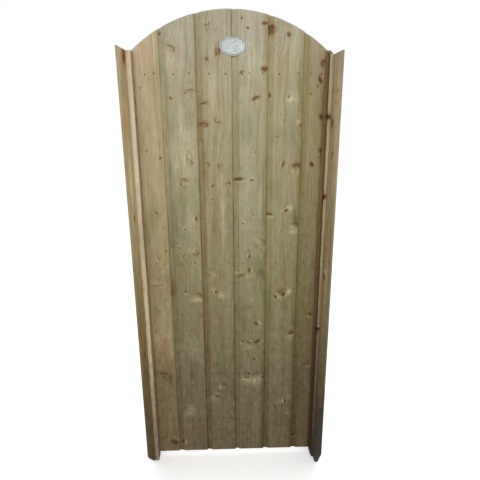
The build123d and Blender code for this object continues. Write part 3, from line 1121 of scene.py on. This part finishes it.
plate_pins = round_head(
    "plate_pins",
    [
        (plate_centre_x + side * PLATE_PIN_REACH, -0.0007, plate_centre_z)
        for side in (-1, 1)
    ],
    (0, -1, 0),
    0.0020,
    0.0010,
    weathered_steel(
        "pin_steel",
        tone(150, 150, 138),
        tone(110, 108, 96),
        tone(96, 80, 60),
        metallic=0.6,
        rough=0.5,
        rust_share=0.3,
        grit=700.0,
    ),
    "leaf",
    cross=False,
)


# Ledges: three sawn rails across the back of the boards, weathered along the top edge.
# They are the same treated softwood as the boards, left rough from the saw.

# Colour of the ledges from the foot up: darker towards the foot with painted shade and some damp,
# as on the boards
LEDGE_HEIGHTS = (
    (0.02, tone(112, 100, 72)),
    (0.30, tone(134, 120, 86)),
    (0.60, tone(158, 144, 108)),
    (0.94, tone(176, 162, 128)),
)


LEDGE_WEATHERING = 0.008
SAWN_ENDS = ((0.0, 0.002, 0.0005), (1.0, 0.002, 0.0005))


def sawn(depth, along, seed, pitch=0.0031, height=0.00012):
    """The slight ridges that a band saw leaves across a timber."""
    drift = np.sin(along * 23.0 + seed) * 0.35
    return height * np.sin(along / pitch * math.tau / 2 + drift + depth * 30.0)


def ledge_finish(name, tint):
    """The sawn face of a ledge or brace, a little greyed."""
    return softwood(
        f"sawn_{name}",
        deep=tone(196, 172, 124),
        heights=LEDGE_HEIGHTS,
        tint=tint,
        knot_colour=(0.82, 0.47, 0.33),
        stain_colour=tone(205, 212, 190),
        grey=0.6,
        rough=0.92,
    )


for seed, name in enumerate(("top_ledge", "middle_ledge", "bottom_ledge")):
    low_corner, high_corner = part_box(name)
    middle_z = (low_corner.z + high_corner.z) / 2
    half = (high_corner.z - low_corner.z) / 2
    knots = [
        (0.018 - 0.02 * seed, low_corner.x + 0.16 + 0.11 * seed, 0.016, 0.020, 0.6),
        (-0.024 + 0.01 * seed, low_corner.x + 0.47 - 0.07 * seed, 0.022, 0.028, 0.4),
        (0.004, low_corner.x + 0.34, 0.010, 0.012, 0.8),
    ]

    def ledge_face(at, along):
        slope = max(0.0, at - (half - LEDGE_WEATHERING))
        wander = 0.0003 + 0.0002 * np.sin(along * 9 + seed)
        return high_corner.y - slope - wander + sawn(at, along, seed)

    def ledge_back(at, along):
        return np.full_like(along, low_corner.y)

    close = ((-half, 0.0012, 0.0003), (half - LEDGE_WEATHERING, 0.002, 0.0008))
    across = fine_stops(-half, half, 0.0035, close)
    steps = fine_stops(0.0, 1.0, 0.0045, SAWN_ENDS)
    ledge = plank(
        f"shown_{name}",
        across,
        ledge_back,
        ledge_face,
        lambda at: low_corner.x,
        lambda at: high_corner.x,
        steps,
        lambda at, depth, along: (along, depth, middle_z - at),
        knots=knots,
        seed=60 + seed,
        pith=(0.012 * seed, 0.014),
        ease=0.0008,
        plain="front",
        thin=4,
    )
    ledge.data.materials.append(ledge_finish(name, (0.97 + 0.02 * seed, 0.98, 0.96)))
    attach(ledge, "leaf")
    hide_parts(name)


# Braces: two sawn diagonals let in between the ledges, rising to the latch side.
# Their ends are cut level against the ledges, and upright at the ledge ends.

BRACE_WIDTH = 0.075
BRACE_FOOT_INSET = 0.054
BRACE_HEAD_INSET = 0.030
BRACE_KNOTS = (
    (0.012, -0.21, 0.018, 0.024, 0.6),
    (-0.015, 0.05, 0.012, 0.014, 0.8),
    (0.006, 0.28, 0.020, 0.026, 0.35),
)
for seed, name in enumerate(("upper_brace", "lower_brace")):
    low_corner, high_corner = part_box(name)
    brace_foot = (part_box("top_ledge")[0].x + BRACE_FOOT_INSET, low_corner.z)
    brace_head = (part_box("top_ledge")[1].x - BRACE_HEAD_INSET, high_corner.z)
    slope = math.atan2(brace_head[1] - brace_foot[1], brace_head[0] - brace_foot[0])
    along_x, along_z = math.cos(slope), math.sin(slope)
    centre_x = (brace_foot[0] + brace_head[0]) / 2
    centre_z = (brace_foot[1] + brace_head[1]) / 2

    def brace_low(at):
        level_cut = (low_corner.z - centre_z - at * along_x) / along_z
        upright_cut = (low_corner.x - centre_x + at * along_z) / along_x
        return max(level_cut, upright_cut)

    def brace_high(at):
        level_cut = (high_corner.z - centre_z - at * along_x) / along_z
        upright_cut = (high_corner.x - centre_x + at * along_z) / along_x
        return min(level_cut, upright_cut)

    def on_slope(at, depth, along):
        return (
            centre_x + along * along_x - at * along_z,
            depth,
            centre_z + along * along_z + at * along_x,
        )

    half = BRACE_WIDTH / 2
    across = fine_stops(-half, half, 0.0035, ((-half, 0.0012, 0.0003), (half, 0.0012, 0.0003)))
    steps = fine_stops(0.0, 1.0, 0.0045, SAWN_ENDS)
    brace = plank(
        f"shown_{name}",
        across,
        lambda at, along: np.full_like(along, low_corner.y),
        lambda at, along: high_corner.y - 0.0004 + sawn(at, along, seed + 3),
        brace_low,
        brace_high,
        steps,
        on_slope,
        knots=BRACE_KNOTS,
        seed=70 + seed,
        pith=(-0.01, 0.02),
        ease=0.0008,
        turned=True,
        plain="front",
        thin=4,
    )
    brace.data.materials.append(ledge_finish(name, (0.98 - 0.03 * seed, 0.97, 0.94)))
    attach(brace, "leaf")
    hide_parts(name)


# Straps: black painted steel, each a flat bar screwed to its ledge, tapered to a round
# tip and rolled at the hinge end into an open eye that turns on the pin.

black_paint = weathered_steel(
    "black_hinge_paint",
    tone(38, 38, 39),
    tone(58, 57, 54),
    tone(92, 62, 44),
    metallic=0.0,
    rough=0.46,
    rust_share=0.12,
    grit=420.0,
)
STRAP_THICKNESS = 0.004
STRAP_TIP_HALF = 0.011
# How far the eye is rolled, in degrees, and the stations round it, along the bar and at the tip
EYE_ROLL = 338
EYE_STATIONS = 36
BAR_STATIONS = 34
TIP_STATIONS = 12
# Across a strap: the place as a share of the half width, and the thickness left there
STRAP_SECTION = (
    (-1.0, 0.62),
    (-0.985, 0.88),
    (-0.95, 0.98),
    (-0.8, 1.0),
    (-0.5, 1.0),
    (0.0, 1.0),
    (0.5, 1.0),
    (0.8, 1.0),
    (0.95, 0.98),
    (0.985, 0.88),
    (1.0, 0.62),
)
# Screws: how far each is from the pin, and how far above the strap's middle
STRAP_SCREWS = ((0.040, 0.006), (0.075, -0.006), (0.140, 0.0), (0.210, 0.0), (0.300, 0.0))
for name in ("upper_strap", "lower_strap"):
    low_corner, high_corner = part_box(name)
    eye_y = (low_corner.y + high_corner.y) / 2
    eye_x = low_corner.x + (high_corner.y - low_corner.y) / 2
    eye_path = (high_corner.y - low_corner.y) / 2 - STRAP_THICKNESS / 2
    middle_z = (low_corner.z + high_corner.z) / 2
    eye_half = (high_corner.z - low_corner.z) / 2
    tip_x = high_corner.x - STRAP_TIP_HALF
    bar_y = eye_y - eye_path
    line = []
    for turn in range(EYE_STATIONS + 1):
        angle = math.radians(-90 - EYE_ROLL + EYE_ROLL * turn / EYE_STATIONS)
        out_x, out_y = math.cos(angle), math.sin(angle)
        at_x, at_y = eye_x + eye_path * out_x, eye_y + eye_path * out_y
        line.append((at_x, at_y, -out_x, -out_y, eye_half))
    for share in np.linspace(0.03, 1.0, BAR_STATIONS):
        at_x = eye_x + (tip_x - eye_x) * share
        line.append((at_x, bar_y, 0.0, 1.0, eye_half + (STRAP_TIP_HALF - eye_half) * share))
    for turn in range(1, TIP_STATIONS + 1):
        angle = math.radians(7.4 * turn)
        at_x = tip_x + STRAP_TIP_HALF * math.sin(angle)
        line.append((at_x, bar_y, 0.0, 1.0, STRAP_TIP_HALF * math.cos(angle)))
    spots, faces = [], []
    wide = len(STRAP_SECTION)
    for at_x, at_y, in_x, in_y, half in line:
        for side in (1, -1):
            for share, round_off in STRAP_SECTION:
                reach = side * STRAP_THICKNESS / 2 * round_off
                spots.append((at_x + in_x * reach, at_y + in_y * reach, middle_z + share * half))
    loop = 2 * wide
    for row in range(len(line) - 1):
        for column in range(wide - 1):
            a = row * loop + column
            faces.append((a, a + 1, a + 1 + loop, a + loop))
            b = a + wide
            faces.append((b + loop, b + 1 + loop, b + 1, b))
        a, b = row * loop, row * loop + wide
        faces.append((a, a + loop, b + loop, b))
        a, b = row * loop + wide - 1, row * loop + loop - 1
        faces.append((b, b + loop, a + loop, a))
    for row in (0, len(line) - 1):
        outer = range(row * loop, row * loop + wide)
        inner = range(row * loop + wide, row * loop + loop)
        faces.append((*outer, *reversed(inner)))
    mesh = bpy.data.meshes.new(f"shown_{name}")
    mesh.from_pydata(spots, [], faces)
    strap = bpy.data.objects.new(f"shown_{name}", mesh)
    bpy.context.scene.collection.objects.link(strap)
    mesh.shade_smooth()
    edges = strap.modifiers.new("edges", "EDGE_SPLIT")
    edges.split_angle = math.radians(40)
    mesh.materials.append(black_paint)
    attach(strap, "leaf")
    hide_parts(name)
    heads = round_head(
        f"{name}_screws",
        [
            (eye_x + reach, low_corner.y + STRAP_THICKNESS - 0.0002, middle_z + rise)
            for reach, rise in STRAP_SCREWS
        ],
        (0, 1, 0),
        0.0046,
        0.0026,
        black_paint,
        "leaf",
    )


# Hooks: black painted steel. Each pin stands on a lug of a plate that is screwed to the
# inner face of the hinge jamb, behind the leaf.

JAMB_FRONT = -0.142
JAMB_BACK = 0.078
JAMB_FRONT_EDGE = 0.006
JAMB_BACK_EDGE = 0.018
JAMB_SLOPE = (JAMB_BACK_EDGE - JAMB_FRONT_EDGE) / (JAMB_BACK - JAMB_FRONT)
HOOK_PLATE_THICKNESS = 0.005
HOOK_MIDDLE = 0.055
# Screws of a plate: how far each is above its middle, and its depth behind the leaf's face
HOOK_SCREWS = ((-0.041, 0.066), (0.041, 0.066), (-0.018, 0.067), (0.022, 0.067))


def jamb_face(depth):
    """How far a jamb's inner face stands from its outer face, at a depth."""
    return JAMB_FRONT_EDGE + JAMB_SLOPE * (depth - JAMB_FRONT)


for name in ("upper_hook", "lower_hook"):
    hook = frame["nodes"][name].copy()
    hook.data = frame["nodes"][name].data.copy()
    hook.name = f"shown_{name}"
    hook.data.name = f"shown_{name}"
    bpy.context.scene.collection.objects.link(hook)
    hook.parent = None
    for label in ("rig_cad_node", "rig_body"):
        if label in hook:
            del hook[label]
    hook.hide_render = False
    weld = hook.modifiers.new("weld", "WELD")
    weld.merge_threshold = 0.00002
    ease_edges = hook.modifiers.new("ease", "BEVEL")
    ease_edges.width = 0.0006
    ease_edges.segments = 2
    ease_edges.limit_method = "ANGLE"
    ease_edges.angle_limit = math.radians(35)
    hook.data.materials.clear()
    hook.data.materials.append(black_paint)
    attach(hook, "frame")
    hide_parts(name)
    middle_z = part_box(name)[0].z + HOOK_MIDDLE
    screw_places = []
    for rise, depth in HOOK_SCREWS:
        face = jamb_face(depth) + HOOK_PLATE_THICKNESS
        screw_places.append((face - 0.0002, depth, middle_z + rise))
    heads = round_head(
        f"{name}_screws",
        screw_places,
        (1, -JAMB_SLOPE, 0),
        0.0042,
        0.0023,
        black_paint,
        "frame",
    )


# Stops: narrow battens, straight from the saw and left pale, nailed to the jambs in
# front of the leaf. Their edges wander with the saw and tear where it met a knot.

GATE_WIDTH = 0.722
STOP_BACK = -0.007
STOP_ARRIS = 0.0012
HINGE_STOP_WIDTH = 0.015
LATCH_STOP_FRONT_WIDTH = 0.012
LATCH_STOP_BACK_WIDTH = 0.017
LATCH_STOP_WANE = 0.026
TEAR_DEPTH = 0.0022
TEAR_LENGTH = 0.012
TEAR_REACH = 0.02
JAMB_ENDS = ((0.0, 0.001, 0.0003), (1.0, 0.001, 0.0003))


def on_hinge_side(at, depth, along):
    """A point of a timber that stands on the left jamb's side."""
    return (depth, at, along)


def on_latch_side(at, depth, along):
    """The same, measured from the right jamb's outer face."""
    return (GATE_WIDTH - depth, at, along)


STOP_TEARS = {
    "hinge_stop": (1.512, 1.452, 1.288, 0.905, 0.430),
    "latch_stop": (1.462, 1.180, 0.640),
}
# Colours of the sides, at the front of the stop and further back: painted shade, and on the latch
# stop also the dark wane of its inner edge
STOP_SIDE_SHADES = {
    "hinge_stop": ((0.60, 0.46, 0.34), (0.66, 0.55, 0.41)),
    "latch_stop": ((0.32, 0.24, 0.17), (0.66, 0.56, 0.43)),
}
# Colour of each stop from the foot up: darker towards the foot with painted shade and some damp
STOP_HEIGHTS = {
    "hinge_stop": (
        (0.01, tone(140, 132, 112)),
        (0.16, tone(166, 152, 126)),
        (0.33, tone(198, 184, 152)),
        (0.55, tone(194, 182, 158)),
        (0.75, tone(204, 193, 172)),
        (0.92, tone(206, 190, 162)),
    ),
    "latch_stop": (
        (0.01, tone(66, 56, 44)),
        (0.25, tone(110, 94, 71)),
        (0.50, tone(160, 144, 114)),
        (0.70, tone(178, 166, 136)),
        (0.92, tone(170, 158, 128)),
    ),
}
for seed, name in enumerate(("hinge_stop", "latch_stop")):
    low_corner, high_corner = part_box(name)
    mirrored = name == "latch_stop"
    tears = STOP_TEARS[name]

    def stop_face(at, along):
        from_front = at - low_corner.y
        if mirrored:
            wane = min(1.0, from_front / LATCH_STOP_WANE)
            front_face = jamb_face(low_corner.y) + LATCH_STOP_FRONT_WIDTH
            back_face = jamb_face(STOP_BACK) + LATCH_STOP_BACK_WIDTH
            face = front_face + (back_face - front_face) * wane
        else:
            face = jamb_face(STOP_BACK) + HINGE_STOP_WIDTH
        face -= eased(from_front, STOP_ARRIS)
        wander = 0.0007 * slow_wave(along, seed + 30, 0.5)
        wander += 0.0004 * slow_wave(along, seed + 90, 0.06)
        torn = np.zeros_like(along)
        from_torn_edge = from_front if mirrored else high_corner.y - at
        torn_here = TEAR_DEPTH * max(0.0, 1 - from_torn_edge / TEAR_REACH)
        for tear in tears:
            torn += torn_here * np.exp(-(((along - tear) / TEAR_LENGTH) ** 2))
        return face - 0.0014 - np.abs(wander) - torn + sawn(at, along, seed)

    def stop_seat(at, along):
        return np.full_like(along, jamb_face(at))

    def stop_foot(at):
        from_front = (at - low_corner.y) / (high_corner.y - low_corner.y)
        return low_corner.z + (0.008 + 0.026 * from_front if mirrored else 0.012)

    def stop_head(at):
        from_front = (at - low_corner.y) / (high_corner.y - low_corner.y)
        return high_corner.z + (0.003 + 0.0155 * from_front if mirrored else 0.0)

    close = ((low_corner.y, 0.0012, 0.0003), (high_corner.y, 0.0012, 0.0003))
    across = fine_stops(low_corner.y, high_corner.y, 0.0025, close)
    steps = fine_stops(0.0, 1.0, 0.0020, JAMB_ENDS)
    if mirrored:
        knots = [(low_corner.y + 0.006, tear, 0.026, 0.016, 0.8) for tear in tears]
    else:
        knots = [(high_corner.y - 0.003, tear, 0.020, 0.022, 0.6) for tear in tears]
    stop = plank(
        f"shown_{name}",
        across,
        stop_seat,
        stop_face,
        stop_foot,
        stop_head,
        steps,
        on_latch_side if mirrored else on_hinge_side,
        knots=knots,
        seed=40 + seed,
        pith=(0.02, 0.03),
        ease=0.0004,
        turned=not mirrored,
        plain="front",
        thin=4,
    )
    stop.data.materials.append(
        softwood(
            f"sawn_{name}",
            deep=tone(206, 184, 148),
            heights=STOP_HEIGHTS[name],
            tint=(1.0, 1.0, 1.0),
            side_shade_colours=STOP_SIDE_SHADES[name],
            knot_colour=(0.34, 0.15, 0.09),
            stain_colour=tone(222, 216, 206),
            grey=0.5,
            rings=0.0030,
            contrast=0.8,
            rough=0.93,
        )
    )
    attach(stop, "frame")
    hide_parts(name)


# Jambs: two deep, thin boards on edge, one each side of the leaf, feathered towards the
# front. The lower front corner of each is cut away and rounded.

JAMB_ARRIS = 0.0015
# Colour of each jamb from the foot up: darker towards the foot with painted shade and some damp
JAMB_HEIGHTS = {
    "hinge_jamb": (
        (0.01, tone(102, 94, 74)),
        (0.20, tone(122, 108, 78)),
        (0.40, tone(156, 138, 98)),
        (0.56, tone(188, 174, 134)),
        (0.90, tone(190, 176, 142)),
    ),
    "latch_jamb": (
        (0.01, tone(68, 64, 58)),
        (0.14, tone(84, 76, 64)),
        (0.30, tone(137, 128, 98)),
        (0.50, tone(162, 146, 114)),
        (0.75, tone(188, 174, 143)),
        (0.90, tone(176, 167, 142)),
    ),
}
# Depth and height of the cut at each foot, and the rounding at its toe and on its front edge
JAMB_CUTS = {"hinge_jamb": (0.106, 0.118, 0.050, 0.060), "latch_jamb": (0.066, 0.108, 0.040, 0.045)}
JAMB_KNOTS = {
    "hinge_jamb": [
        (-0.080, 1.668, 0.042, 0.052, 0.65),
        (-0.098, 1.120, 0.018, 0.022, 0.6),
        (-0.080, 0.560, 0.022, 0.026, 0.5),
        (0.030, 0.900, 0.024, 0.030, 0.6),
    ],
    "latch_jamb": [
        (-0.066, 1.440, 0.024, 0.026, 0.35),
        (-0.090, 1.330, 0.020, 0.026, 0.3),
        (-0.070, 0.880, 0.022, 0.028, 0.5),
        (-0.105, 0.420, 0.016, 0.020, 0.7),
        (0.040, 1.250, 0.024, 0.030, 0.6),
    ],
}
JAMB_MARKS = {
    "hinge_jamb": [
        ("red", -0.080, 1.660, 0.060, 0.090, 0.6),
        ("olive", -0.105, 1.580, 0.040, 0.100, 0.5),
        ("olive", -0.060, 1.520, 0.016, 0.200, 0.5),
        ("red", -0.105, 1.440, 0.060, 0.120, 0.5),
        ("pale", -0.100, 1.250, 0.040, 0.200, 0.5),
        ("olive", -0.075, 1.000, 0.016, 0.500, 0.4),
        ("red", -0.110, 0.620, 0.030, 0.200, 0.5),
        ("olive", -0.080, 0.200, 0.050, 0.020, 0.8),
        ("red", -0.090, 0.090, 0.080, 0.100, 0.9),
    ],
    "latch_jamb": [
        # These two olive lines, just in front of the stop, are painted shade where the stop meets
        # the jamb
        ("olive", -0.053, 0.900, 0.011, 1.500, 1.0),
        ("olive", -0.056, 1.560, 0.016, 0.260, 0.8),
        ("pale", -0.118, 1.600, 0.034, 0.120, 0.25),
        ("olive", -0.100, 1.548, 0.070, 0.006, 0.9),
        ("olive", -0.095, 1.510, 0.060, 0.004, 0.7),
        ("red", -0.064, 1.445, 0.036, 0.036, 1.0),
        ("pale", -0.125, 1.350, 0.026, 0.300, 0.25),
        ("olive", -0.080, 1.220, 0.014, 0.500, 0.7),
        ("olive", -0.122, 0.980, 0.014, 0.400, 0.6),
        ("pale", -0.100, 0.850, 0.040, 0.200, 0.5),
        ("red", -0.100, 0.520, 0.050, 0.200, 0.4),
    ],
}
for seed, name in enumerate(("hinge_jamb", "latch_jamb")):
    low_corner, high_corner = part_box(name)
    cut_depth, cut_height, toe_rounding, edge_rounding = JAMB_CUTS[name]
    mirrored = name == "latch_jamb"
    cut_slope = math.atan2(cut_height, cut_depth)
    near_toe = toe_rounding * math.tan(cut_slope / 2)
    near_edge = edge_rounding * math.tan((math.pi / 2 - cut_slope) / 2)

    def foot_line(at):
        toe_y = JAMB_FRONT + cut_depth
        if at >= toe_y + near_toe:
            return low_corner.z
        if at > toe_y - near_toe * math.cos(cut_slope):
            fall = toe_rounding**2 - (toe_y + near_toe - at) ** 2
            return low_corner.z + toe_rounding - math.sqrt(max(0.0, fall))
        if at > JAMB_FRONT + near_edge * math.cos(cut_slope):
            return low_corner.z + (toe_y - at) * cut_height / cut_depth
        centre = JAMB_FRONT + edge_rounding
        centre_z = low_corner.z + cut_height + near_edge
        return centre_z - math.sqrt(max(0.0, edge_rounding**2 - (centre - at) ** 2))

    def jamb_inner(at, along):
        face = jamb_face(at) - eased(at - JAMB_FRONT, JAMB_ARRIS)
        return face - 0.0002 + sawn(at, along, seed + 7, 0.0042)

    def jamb_outer(at, along):
        return np.full_like(along, eased(at - JAMB_FRONT, JAMB_ARRIS))

    close = (
        (JAMB_FRONT, 0.0016, 0.0003),
        (JAMB_FRONT, 0.012, 0.0012),
        (JAMB_FRONT + cut_depth, 0.02, 0.002),
        (JAMB_BACK, 0.0012, 0.0004),
    )
    across = fine_stops(JAMB_FRONT, JAMB_BACK, 0.0045, close)
    steps = fine_stops(0.0, 1.0, 0.0036, JAMB_ENDS)
    jamb = plank(
        f"shown_{name}",
        across,
        jamb_outer,
        jamb_inner,
        foot_line,
        lambda at: high_corner.z,
        steps,
        on_latch_side if mirrored else on_hinge_side,
        knots=JAMB_KNOTS[name],
        marks=JAMB_MARKS[name],
        seed=50 + seed,
        pith=(-0.03, 0.025),
        ease=0.0006,
        turned=not mirrored,
        plain="front",
    )
    jamb.data.materials.append(
        softwood(
            f"sawn_{name}",
            deep=tone(198, 176, 132),
            heights=JAMB_HEIGHTS[name],
            tint=(1.0, 1.0, 1.0),
            # Painted shade, grey, on the jambs' front edges
            front_edge_shade=(0.60, 0.62, 0.66),
            knot_colour=(0.55, 0.28, 0.16),
            stain_colour=tone(206, 208, 196),
            grey=0.7,
            rough=0.90,
        )
    )
    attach(jamb, "frame")
    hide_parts(name)


# Floor, lights and camera: a pale floor that takes the gate's shadow, soft lights in
# front and over it, and the camera at the photograph's place.

FLOOR_CORNERS = ((-30, -30), (30, -30), (30, 40), (-30, 40))
FLOOR_DROP = 0.001
FLOOR_GLOW = 0.30
SKY_LIGHT = 0.78
CAMERA_PLACE = (0.3407, -1.5633, 1.4493)
CAMERA_TURNS = (1.832, 15.824, -0.333)
CAMERA_LENS = 31.23


def seen_directly(tree):
    """1 for the camera's rays and for those from a shiny or clear face, 0 for the rest."""
    ray = tree.nodes.new("ShaderNodeLightPath")
    reached = ray.outputs["Is Camera Ray"]
    for label in ("Is Glossy Ray", "Is Transmission Ray"):
        larger = tree.nodes.new("ShaderNodeMath")
        larger.operation = "MAXIMUM"
        tree.links.new(reached, larger.inputs[0])
        tree.links.new(ray.outputs[label], larger.inputs[1])
        reached = larger.outputs[0]
    return reached


floor_mesh = bpy.data.meshes.new("studio_floor")
floor_mesh.from_pydata([(x, y, -FLOOR_DROP) for x, y in FLOOR_CORNERS], [], [(0, 1, 2, 3)])
floor = bpy.data.objects.new("studio_floor", floor_mesh)
bpy.context.scene.collection.objects.link(floor)
floor_paint = bpy.data.materials.new("pale_floor")
floor_paint.use_nodes = True
floor_nodes = floor_paint.node_tree.nodes
floor_links = floor_paint.node_tree.links
floor_surface = floor_nodes["Principled BSDF"]
floor_surface.inputs["Base Color"].default_value = (0.93, 0.93, 0.93, 1)
floor_surface.inputs["Roughness"].default_value = 1.0
floor_surface.inputs["Specular IOR Level"].default_value = 0.0
floor_glow = floor_nodes.new("ShaderNodeEmission")
floor_lift = floor_nodes.new("ShaderNodeMath")
floor_lift.operation = "MULTIPLY"
floor_lift.inputs[1].default_value = FLOOR_GLOW
floor_sum = floor_nodes.new("ShaderNodeAddShader")
floor_links.new(seen_directly(floor_paint.node_tree), floor_lift.inputs[0])
floor_links.new(floor_lift.outputs[0], floor_glow.inputs["Strength"])
floor_links.new(floor_surface.outputs["BSDF"], floor_sum.inputs[0])
floor_links.new(floor_glow.outputs["Emission"], floor_sum.inputs[1])
floor_links.new(floor_sum.outputs[0], floor_nodes["Material Output"].inputs["Surface"])
floor_mesh.materials.append(floor_paint)

world = bpy.data.worlds.new("plain_sky")
bpy.context.scene.world = world
world.use_nodes = True
sky = world.node_tree
sky.nodes.clear()
seen = sky.nodes.new("ShaderNodeBackground")
seen.inputs["Color"].default_value = (1, 1, 1, 1)
seen.inputs["Strength"].default_value = 1.0
lit = sky.nodes.new("ShaderNodeBackground")
lit.inputs["Color"].default_value = (1, 1, 1, 1)
lit.inputs["Strength"].default_value = SKY_LIGHT
chooser = sky.nodes.new("ShaderNodeMixShader")
sky_output = sky.nodes.new("ShaderNodeOutputWorld")
sky.links.new(seen_directly(sky), chooser.inputs["Fac"])
sky.links.new(lit.outputs[0], chooser.inputs[1])
sky.links.new(seen.outputs[0], chooser.inputs[2])
sky.links.new(chooser.outputs[0], sky_output.inputs["Surface"])

for lamp_name, lamp_place, lamp_aim, lamp_size, lamp_power in (
    ("front_soft", (0.6, -3.4, 2.7), (0.36, 0.0, 0.9), 2.8, 66.0),
    ("back_soft", (1.6, 3.4, 3.0), (0.36, 0.0, 0.9), 2.6, 40.0),
):
    lamp = bpy.data.objects.new(lamp_name, bpy.data.lights.new(lamp_name, "AREA"))
    lamp.data.shape = "DISK"
    lamp.data.size = lamp_size
    lamp.data.energy = lamp_power
    lamp.location = lamp_place
    aim = Vector(lamp_aim) - Vector(lamp_place)
    lamp.rotation_euler = aim.to_track_quat("-Z", "Y").to_euler()
    bpy.context.scene.collection.objects.link(lamp)

camera = bpy.data.objects.new("photo_camera", bpy.data.cameras.new("photo_camera"))
bpy.context.scene.collection.objects.link(camera)
camera.data.lens = CAMERA_LENS
camera.data.sensor_width = 36.0
camera.data.sensor_fit = "HORIZONTAL"
camera.data.clip_start = 0.02
camera.data.clip_end = 200
yaw, pitch, roll = (math.radians(turn) for turn in CAMERA_TURNS)
ahead = Vector((math.sin(yaw), math.cos(yaw), -math.tan(pitch))) * math.cos(pitch)
level = Vector((math.cos(yaw), -math.sin(yaw), 0))
upward = level.cross(ahead)
camera_right = level * math.cos(roll) + upward * math.sin(roll)
camera_up = upward * math.cos(roll) - level * math.sin(roll)
camera.matrix_world = Matrix(
    (
        (camera_right.x, camera_up.x, -ahead.x, CAMERA_PLACE[0]),
        (camera_right.y, camera_up.y, -ahead.y, CAMERA_PLACE[1]),
        (camera_right.z, camera_up.z, -ahead.z, CAMERA_PLACE[2]),
        (0, 0, 0, 1),
    )
)
bpy.context.scene.camera = camera
bpy.context.scene.view_settings.view_transform = "Standard"
